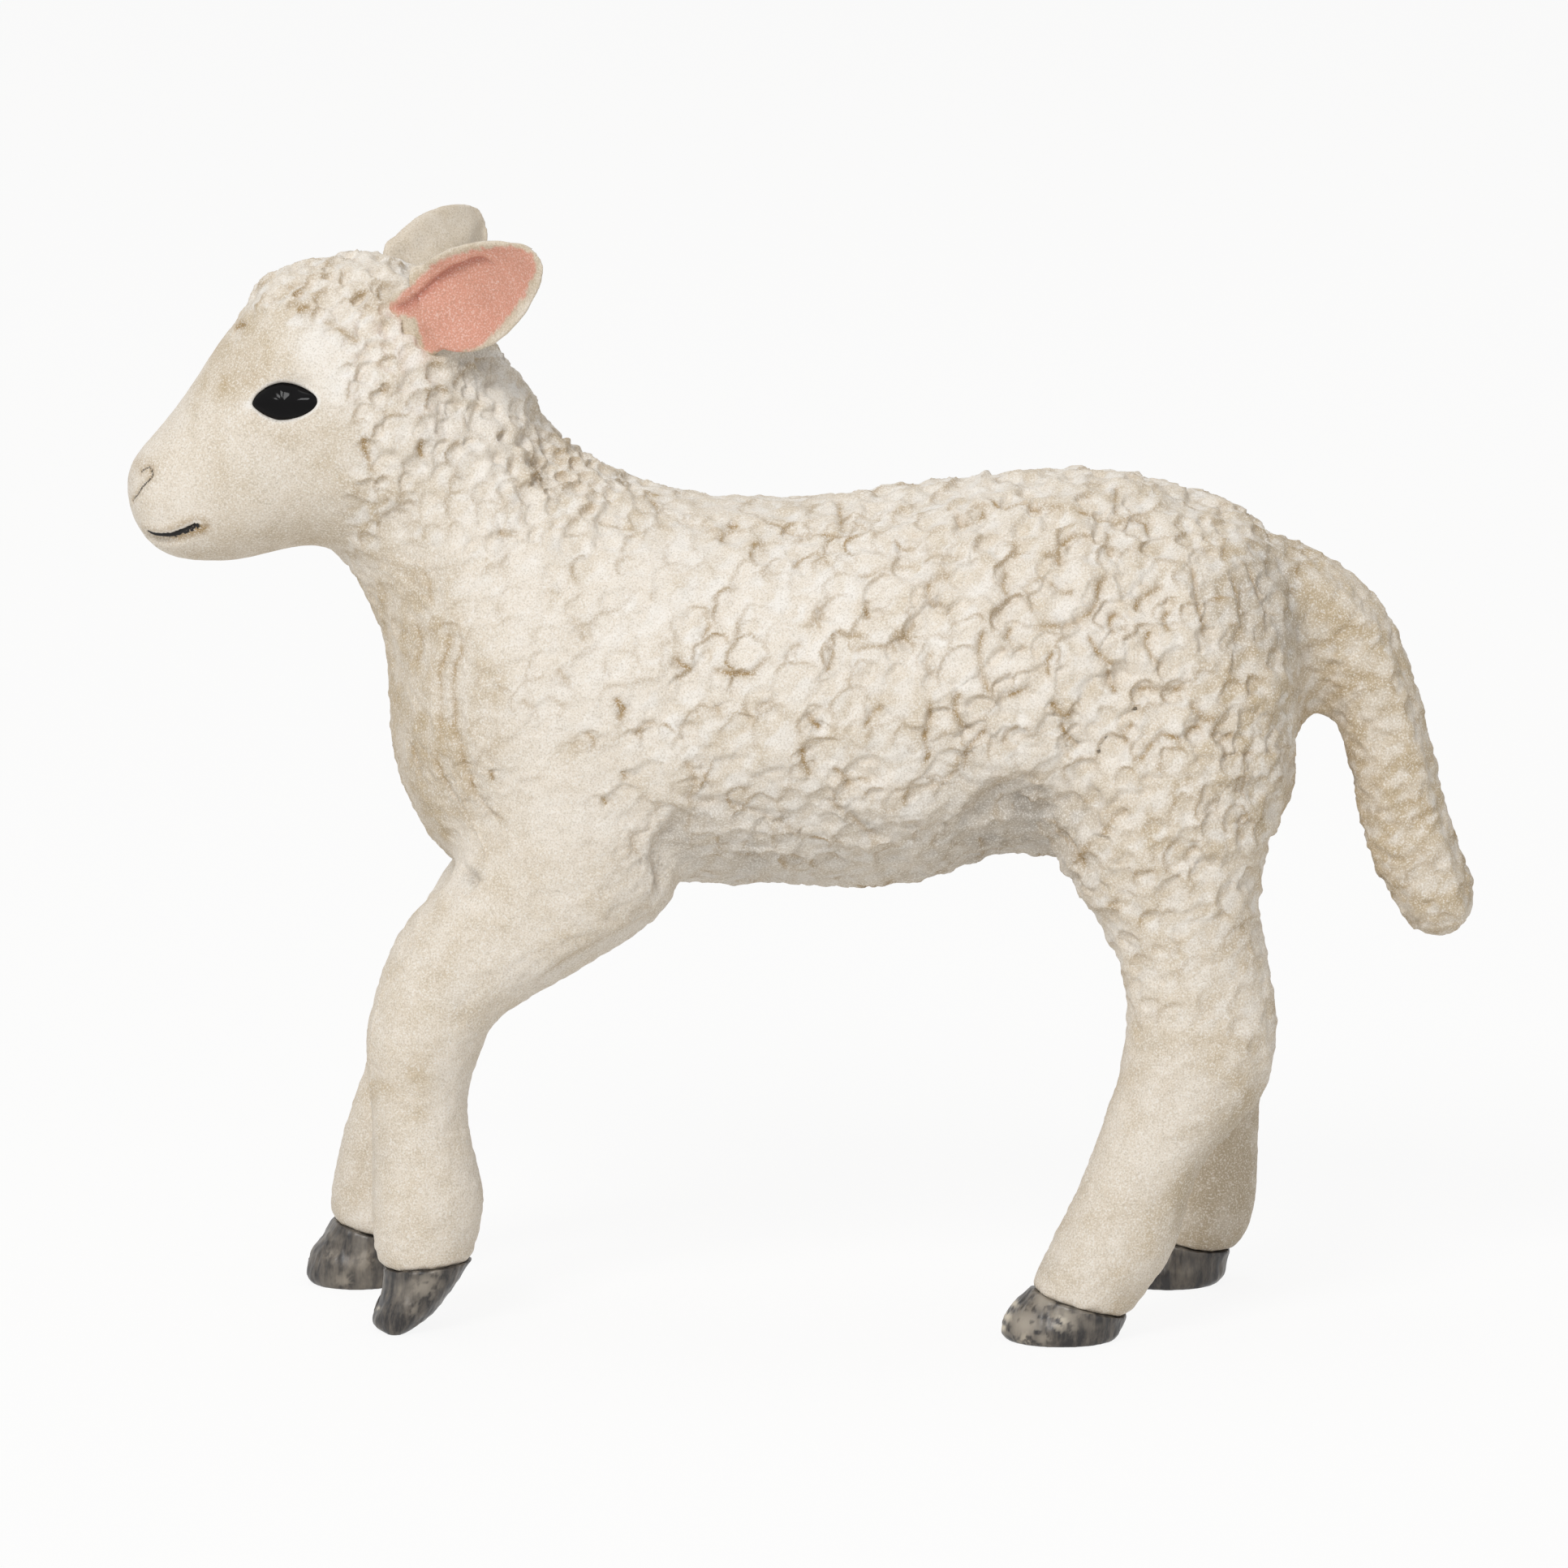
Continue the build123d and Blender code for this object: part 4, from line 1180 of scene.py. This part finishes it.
pvc = {
    "cream": "#EEE5D8",
    "beige": "#CAB798",
    "ochre": "#AB9066",
    # grey of the painted shade
    "grey": "#ABA49B",
    # near-white of the white flecks and of the painted highlight
    "paleAndHighlight": "#F8F5F0",
    "ink": "#1E1C1C",
    "speck": "#948775",
    # noises: size in mm, detail and roughness
    "noises": {"grain": (0.065, 3.0, 0.5), "specks": (0.16, 2.0, 0.7), "blotch": (1.1, 4.0, 0.5)},
    "cover": (0.35, 0.65),  # the blotch values between which the coverage varies
    "uneven": {"beige": 0.45, "paleAndHighlight": 0.35, "grey": 0.2, "ochre": 0.25},  # how far it varies
    # noise, its values at none and most, how much at most, colour
    "flecks": [
        ("specks", 0.60, 0.72, 0.20, "speck"), ("grain", 0.48, 0.34, 0.28, "speck"),
        ("grain", 0.51, 0.66, 0.62, "paleAndHighlight"),
    ],
    "tooth": 0.016,  # mm that the grain stands up
    "bump": 0.55,
    "roughness": 0.62,
    "specular": 0.35,
}


def noisesOf(tree, kinds):
    # noises in the object's space, by name
    place = addNode(tree, "ShaderNodeTexCoord", {}).outputs["Object"]
    made = {}
    for name, (size, detail, rough) in kinds.items():
        settings = {"Scale": perMetre(size), "Detail": detail, "Roughness": rough}
        made[name] = addNode(tree, "ShaderNodeTexNoise", settings, {"Vector": place}).outputs[0]
    return made


def paintedOn(tree, kinds):
    # the paint layers that are kept on the mesh
    named = [{"attribute_name": kind} for kind in kinds]
    return [addNode(tree, "ShaderNodeAttribute", name).outputs["Fac"] for name in named]


def mixColour(tree, factor, first, second):
    # first and second are hex codes or outputs of other nodes
    settings, links = {"data_type": "RGBA"}, {0: factor}
    for socket, colour in ((6, first), (7, second)):
        if isinstance(colour, str):
            settings[socket] = toLinear(colour)
        else:
            links[socket] = colour
    return addNode(tree, "ShaderNodeMix", settings, links).outputs[2]


def flecked(tree, colour, noises, s):
    # small flecks of other colours, each where a noise lies between two values
    for name, low, high, most, tint in s["flecks"]:
        settings = {1: low, 2: high, 3: 0.0, 4: most}
        share = addNode(tree, "ShaderNodeMapRange", settings, {0: noises[name]}).outputs[0]
        colour = mixColour(tree, share, colour, s[tint])
    return colour


def coated(tree, colour, height, s):
    # the finished surface: its colour, and the noise that stands up as its fine relief
    settings = {"Strength": s["bump"], "Distance": s["tooth"] * mm}
    bump = addNode(tree, "ShaderNodeBump", settings, {"Height": height}).outputs[0]
    settings = {"Roughness": s["roughness"], "IOR": 1.5, "Specular IOR Level": s["specular"]}
    links = {"Normal": bump}
    if isinstance(colour, str):
        settings["Base Color"] = toLinear(colour)
    else:
        links["Base Color"] = colour
    surface = addNode(tree, "ShaderNodeBsdfPrincipled", settings, links).outputs[0]
    addNode(tree, "ShaderNodeOutputMaterial", {}, {"Surface": surface})


def paintedPvc(name, s):
    # moulded PVC under hand-brushed matt paint: chalky, softly speckled, ochre left in the hollows,
    # with painted shade in grey and painted highlight in near-white
    material, tree = blank(name)
    noises = noisesOf(tree, s["noises"])
    low, high = s["cover"]
    colour = s["cream"]
    for (kind, gain), layer in zip(s["uneven"].items(), paintedOn(tree, s["uneven"])):
        settings = {1: low, 2: high, 3: 1 - gain, 4: 1 + gain}
        cover = addNode(tree, "ShaderNodeMapRange", settings, {0: noises["blotch"]}).outputs[0]
        settings = {"operation": "MULTIPLY", "use_clamp": True}
        laid = addNode(tree, "ShaderNodeMath", settings, {0: layer, 1: cover}).outputs[0]
        colour = mixColour(tree, laid, colour, s[kind])
    colour = flecked(tree, colour, noises, s)
    colour = mixColour(tree, paintedOn(tree, ["ink"])[0], colour, s["ink"])
    coated(tree, colour, noises["grain"], s)
    return material


slots = {
    "body": "fleece", "head": "face", "tail": "tail", "left_foreleg": "leg", "right_foreleg": "leg",
    "left_hind_leg": "leg", "right_hind_leg": "leg",
}


def cutSkin():
    kinds = sorted(set(slots.values()))
    coats = {slot: paintedPvc("paintedPvc" + slot.capitalize(), pvc) for slot in kinds}
    chosen = faceOwners(faces, shares)
    for index, name in enumerate(skin["nodes"]):
        cut, own, used = cutPiece(faces, index, chosen)
        mesh = makeMesh(name + "_skin", cut, own)
        capless = np.minimum(used, len(points) - 1)
        for kind, values in paints.items():
            writePaint(mesh, kind, values[capless])
        piece = putPiece(mesh, name + "_skin", name, coats[slots[name]])
        piece.data.normals_split_custom_set_from_vertices(turned[capless].tolist())
        print("cut", name, len(own), "faces")


cutSkin()


# Eyes

lacquer = {
    "black": "#0A090A",
    "noises": {"ripple": (0.7, 1.0, 0.5)},
    "tooth": 0.01,  # mm that the ripples stand up
    "bump": 0.3,
    "roughness": 0.09,
    "specular": 0.12,
}


def glossLacquer(name, s):
    # black enamel under clear lacquer: mirror-smooth, so that it gives small hard highlights
    material, tree = blank(name)
    coated(tree, s["black"], noisesOf(tree, s["noises"])["ripple"], s)
    return material


def makeEye(name, side, s, material):
    ring, centre, facing = eyeRim(s, side)
    around, top = ring - centre, s["bead"] - s["sunk"]
    rows = [centre + around * wide - facing * deep for wide, deep in s["skirt"]]
    for step in range(s["rings"]):
        turn = step / s["rings"] * math.pi / 2
        lift = facing * (s["bead"] * math.sin(turn) - s["sunk"])
        rows.append(centre + around * (math.cos(turn) * s["wide"]) + lift)
    points = np.concatenate(rows + [[centre + facing * top], [centre - facing * s["base"]]])
    tip, base, count = len(points) - 2, len(points) - 1, len(ring)
    last = (len(rows) - 1) * count
    faces = []
    for k in range(count):
        after = (k + 1) % count
        for row in range(0, last, count):
            faces.append([row + k, row + after, row + after + count, row + k + count])
        faces += [[last + k, last + after, tip], [after, k, base]]
    mesh = makeMesh(name, pushInside(points, cadBox), faces)
    putPiece(mesh, name + "_bead", name, material)


gloss = glossLacquer("glossBlackLacquer", lacquer)
makeEye("left_eye", -1, eyes, gloss)
makeEye("right_eye", 1, eyes, gloss)
print("eyes set")


# Ears

ears = {
    "voxel": 0.075,  # mm
    "smoothings": 4,
    "pinkEdge": [
        480, 378, 497, 361, 518, 341, 531, 326, 558, 315, 583, 308, 614, 304, 641, 304, 657, 315,
        661, 331, 652, 349, 645, 365, 632, 383, 620, 397, 605, 414, 592, 427, 565, 435, 540, 436,
        523, 431, 518, 414, 515, 399, 509, 391, 491, 389, 482, 384,
    ],
    "fold": [
        484, 381, 500, 375, 521, 360, 540, 343, 561, 329, 583, 321, 595, 319, 608, 326, 614, 335,
    ],
    "foldDepth": 0.15,  # mm
    "foldReach": 0.9,
    "foldSteep": 0.10,  # mm, half the fold's width on its steep side
    "foldSlow": (0.42, 0.24),  # the same of relief and shade on its slow side
    "foldLip": (0.24, 0.16, 0.35),  # mm from the fold, half width, and height as a share of depth
    # photo pixels, radius in them, mm pushed up
    "root": [((488, 362), 15, 0.30), ((508, 338), 19, 0.36)],
    "rootWay": (-0.45, 0.0, 0.9),
    "swell": (0.010, 0.9),  # mm, height and size
    "wander": [(0.7, 0.25), (0.6, 0.6)],  # pixels that the pink's edge wanders, and size in mm
    "pink": "#D99C87",
    # deeper pink of the painted shade under the fold
    "pinkShade": "#C4806E",
    "flecks": [("grain", 0.52, 0.66, 0.34, "paleAndHighlight"), ("grain", 0.47, 0.34, 0.30, "speck")],
    "bump": 0.5,
}


def edgeDistance(pixels, corners):
    # how far inside a closed line of the photograph each point lies, in pixels, less than 0 outside
    corners = np.array(corners, float).reshape(-1, 2)
    inside, nearest = np.zeros(len(pixels), bool), np.full(len(pixels), 1e9)
    for first, second in zip(corners, np.roll(corners, -1, axis=0)):
        along = second - first
        t = np.clip(((pixels - first) @ along) / (along @ along), 0, 1)
        nearest = np.minimum(nearest, np.linalg.norm(pixels - first - t[:, None] * along, axis=1))
        crosses = (first[1] > pixels[:, 1]) != (second[1] > pixels[:, 1])
        with np.errstate(divide="ignore", invalid="ignore"):
            reach = first[0] + (pixels[:, 1] - first[1]) * along[0] / along[1]
        inside ^= crosses & (pixels[:, 0] < reach)
    return np.where(inside, nearest, -nearest)


def earFacing(points):
    # the way that the ear's hollow side looks: across its thinnest direction, outward
    centre = points.mean(axis=0)
    facing = np.linalg.eigh(np.cov((points - centre).T))[1][:, 0]
    return facing if facing[0] < 0 else -facing


def makeEar(name, side, s, material):
    points, quads = nodeSkin(name, s["voxel"], s["smoothings"])
    pixels = toPhoto(points if side < 0 else mirrored(points, planes["head"]))
    for spot, radius, far in s["root"]:
        near = bell(np.linalg.norm(pixels - spot, axis=1) / radius)[:, None]
        points = points + np.array(s["rootWay"]) * far * near
    normals = meshNormals(points, quads.tolist())
    tree = treeOf(points, quads.tolist())
    pixels = toPhoto(points if side < 0 else mirrored(points, planes["head"]))
    inner = smooth(0.05, 0.45, normals @ earFacing(points))
    fold = traced(s["fold"], tree if side < 0 else leftEarTree)
    if side > 0:
        fold = onSurface(mirrored(fold, planes["head"]), tree)
    which, gap, ran, away = nearLine(points, fold, s["foldReach"])
    ends = smooth(0, 0.06, ran) * smooth(1, 0.75, ran) * inner[which]
    under = smooth(-0.05, 0.08, -away[:, 2])
    steep = (1 - under) * bell(gap / s["foldSteep"])
    lipPlace, lipWidth, lipHeight = s["foldLip"]
    cut, shadow = (under * bell(gap / wide) + steep for wide in s["foldSlow"])
    lip = lipHeight * (1 - under) * bell((gap - lipPlace) / lipWidth)
    relief, shade = ragged(points, [s["swell"]]), np.zeros(len(points))
    relief[which] += s["foldDepth"] * ends * (lip - cut)
    shade[which] = ends * shadow
    edge = edgeDistance(pixels, s["pinkEdge"]) + ragged(points, s["wander"])
    shaped = points + normals * relief[:, None]
    made = makeMesh(name + "_leaf", pushInside(shaped, cadBox), quads.tolist())
    writePaint(made, "pink", inner * smooth(-2.5, 2.5, edge))
    # painted shade under the fold
    writePaint(made, "fold", shade)
    writePaint(made, "rimShade", 0.3 * inner * bell((edge + 2) / 4))
    putPiece(made, name + "_leaf", name, material)
    return tree


def paintedEar(name, s):
    # the same matt paint, with salmon pink airbrushed into the hollow, painted shade in deeper pink
    # under the fold, and painted shade in ochre along the rim
    material, tree = blank(name)
    noises = noisesOf(tree, s["noises"])
    pink, fold, rimShade = paintedOn(tree, ("pink", "fold", "rimShade"))
    colour = mixColour(tree, noises["blotch"], s["cream"], s["beige"])
    colour = mixColour(tree, rimShade, colour, s["ochre"])
    # painted shade in deeper pink under the fold
    colour = mixColour(tree, pink, colour, mixColour(tree, fold, s["pink"], s["pinkShade"]))
    coated(tree, flecked(tree, colour, noises, s), noises["grain"], s)
    return material


earPaint = paintedEar("paintedPvcEar", {**pvc, **ears})
leftEarTree = makeEar("left_ear", -1, ears, earPaint)
makeEar("right_ear", 1, ears, earPaint)
print("ears made")


# Hooves

hooves = {
    "voxel": 0.08,  # mm
    "smoothings": 3,
    "swell": (0.02, 1.4),  # mm, height and size
    "strokes": (0.008, 0.3),  # mm, the same of the brush marks, drawn out down the wall
    "flat": 0.05,  # mm above the ground up to which the sole is level
    "wander": [(0.22, 0.35), (0.12, 0.15)],  # share and size in mm of the dry brush's ragged edge
    "black": "#2B2827",
    "brown": "#857C71",
    "dust": "#A89F92",
    "worn": "#D8CDB8",
    "noises": {"cloud": (1.3, 3.0, 0.5)},
    "streak": (0.35, 0.35, 1.6),  # mm, brush marks run down the wall
    "flecks": [("streak", 0.42, 0.66, 0.6, "brown"), ("cloud", 0.52, 0.70, 0.35, "dust")],
    "tooth": 0.02,  # mm that the brush marks stand up
    "bump": 0.5,
    "roughness": 0.38,
    "specular": 0.5,
    # photo pixels, radius in them, and how much
    "spots": {
        "worn": [
            ((1241, 1622), 6, 1), ((1236, 1636), 5, 1), ((1250, 1606), 5, 0.9),
            ((466, 1612), 3, 0.8), ((1306, 1628), 11, 0.55), ((1262, 1650), 8, 0.5),
        ],
        "dusted": [
            ((1262, 1632), 22, 1), ((1286, 1602), 17, 0.9), ((1312, 1624), 18, 0.8),
            ((1338, 1608), 15, 0.7), ((1285, 1650), 10, 0.7), ((524, 1585), 18, 0.7),
            ((508, 1612), 12, 0.5), ((536, 1568), 10, 0.6), ((448, 1552), 14, 0.6),
            ((424, 1578), 12, 0.6), ((408, 1546), 10, 0.5), ((1560, 1650), 12, 0.4),
            ((1590, 1656), 10, 0.4),
        ],
    },
}


def satinHoof(name, s):
    # near-black satin enamel, dry-brushed brown and grey down the wall, rubbed pale at the toe
    material, tree = blank(name)
    noises = noisesOf(tree, s["noises"])
    place = addNode(tree, "ShaderNodeTexCoord", {}).outputs["Object"]
    scale = [perMetre(size) for size in s["streak"]]
    drawn = addNode(tree, "ShaderNodeMapping", {"Scale": scale}, {"Vector": place}).outputs[0]
    settings = {"Scale": 1.0, "Detail": 4.0, "Roughness": 0.65}
    streak = addNode(tree, "ShaderNodeTexNoise", settings, {"Vector": drawn}).outputs[0]
    colour = flecked(tree, s["black"], {"streak": streak, **noises}, s)
    for kind, layer in zip(("dust", "worn"), paintedOn(tree, ("dusted", "worn"))):
        colour = mixColour(tree, layer, colour, s[kind])
    coated(tree, colour, streak, s)
    return material


def makeHoof(name, s, material):
    points, quads = nodeSkin(name, s["voxel"], s["smoothings"])
    normals = meshNormals(points, quads.tolist())
    relief = ragged(points, [s["swell"]]) + ragged(points * (1, 1, 0.3), [s["strokes"]])
    above = smooth(0.0, 0.25, points[:, 2])
    shaped = points + normals * (relief * above)[:, None]
    level = points[:, 2] < s["flat"]
    shaped[:, 2] = np.where(level, np.maximum(points[:, 2], 0), shaped[:, 2])
    made = makeMesh(name + "_shoe", pushInside(shaped, cadBox), quads.tolist())
    pixels, edge = toPhoto(points), ragged(points, s["wander"])
    for kind, spots in s["spots"].items():
        laid = np.zeros(len(points))
        for spot, radius, amount in spots:
            near = bell(np.linalg.norm(pixels - spot, axis=1) / radius)
            laid = np.maximum(laid, amount * near)
        writePaint(made, kind, laid * smooth(0.15, 0.5, laid + edge))
    putPiece(made, name + "_shoe", name, material)


hoofEnamel = satinHoof("satinHoofEnamel", hooves)
for name in ("left_fore_hoof", "right_fore_hoof", "left_hind_hoof", "right_hind_hoof"):
    makeHoof(name, hooves, hoofEnamel)
print("hooves made")


# Floor, light and background

studio = {
    "floor": "#F4F2EE",
    "floorSize": 6.0,  # m
    "floorGlow": 0.9,  # how far the camera sees the floor as pure white
    "world": 0.41,
    "aim": 0.02,  # m above the ground, where the lamps point
    "lamps": {
        # x, y, z, size in m, watts
        "key": (-0.22, -0.55, 0.50, 0.26, 2.75),
        "fill": (0.40, -0.55, 0.20, 0.5, 0.25),
        "top": (-0.05, 0.20, 0.7, 0.4, 0.75),
    },
}


def whiteRays(tree):
    # 1 for the rays that see the background: the camera's, and those of reflections and clear parts
    path = addNode(tree, "ShaderNodeLightPath", {})
    seen, settings = path.outputs["Is Camera Ray"], {"operation": "ADD", "use_clamp": True}
    for kind in ("Is Glossy Ray", "Is Transmission Ray"):
        links = {0: seen, 1: path.outputs[kind]}
        seen = addNode(tree, "ShaderNodeMath", settings, links).outputs[0]
    return seen


def paleFloor(s):
    # the floor catches the lamb's shadow and is otherwise as white as the photograph's
    material, tree = blank("paleFloor")
    settings = {"operation": "MULTIPLY", 1: s["floorGlow"]}
    seen = addNode(tree, "ShaderNodeMath", settings, {0: whiteRays(tree)}).outputs[0]
    diffuse = addNode(tree, "ShaderNodeBsdfDiffuse", {"Color": toLinear(s["floor"])}).outputs[0]
    glow = addNode(tree, "ShaderNodeEmission", {"Strength": 1.0}).outputs[0]
    mixed = addNode(tree, "ShaderNodeMixShader", {}, {0: seen, 1: diffuse, 2: glow}).outputs[0]
    addNode(tree, "ShaderNodeOutputMaterial", {}, {"Surface": mixed})
    return material


def makeFloor(s):
    half = s["floorSize"] / 2
    corners = np.array([(-half, -half, 0), (half, -half, 0), (half, half, 0), (-half, half, 0)])
    mesh = makeMesh("floor", corners, [[0, 1, 2, 3]])
    mesh.materials.append(paleFloor(s))
    floor = bpy.data.objects.new("floor", mesh)
    bpy.context.scene.collection.objects.link(floor)


def makeWorld(s):
    # a dim white room that rays to the background see as pure white
    world = bpy.data.worlds.new("studio")
    world.use_nodes = True
    tree = world.node_tree
    tree.nodes.clear()
    links = {0: whiteRays(tree)}
    for socket, strength in ((1, s["world"]), (2, 1.0)):
        settings = {"Color": (1, 1, 1, 1), "Strength": strength}
        links[socket] = addNode(tree, "ShaderNodeBackground", settings).outputs[0]
    mixed = addNode(tree, "ShaderNodeMixShader", {}, links).outputs[0]
    addNode(tree, "ShaderNodeOutputWorld", {}, {"Surface": mixed})
    bpy.context.scene.world = world


def makeLamps(s):
    for name, (x, y, z, size, watts) in s["lamps"].items():
        data = bpy.data.lights.new(name, "AREA")
        data.size = size
        data.energy = watts
        lamp = bpy.data.objects.new(name, data)
        lamp.location = (x, y, z)
        lamp.rotation_euler = Vector((x, y, z - s["aim"])).to_track_quat("Z", "Y").to_euler()
        bpy.context.scene.collection.objects.link(lamp)


makeFloor(studio)
makeWorld(studio)
makeLamps(studio)
bpy.context.scene.view_settings.view_transform = "Standard"
print("studio lit")
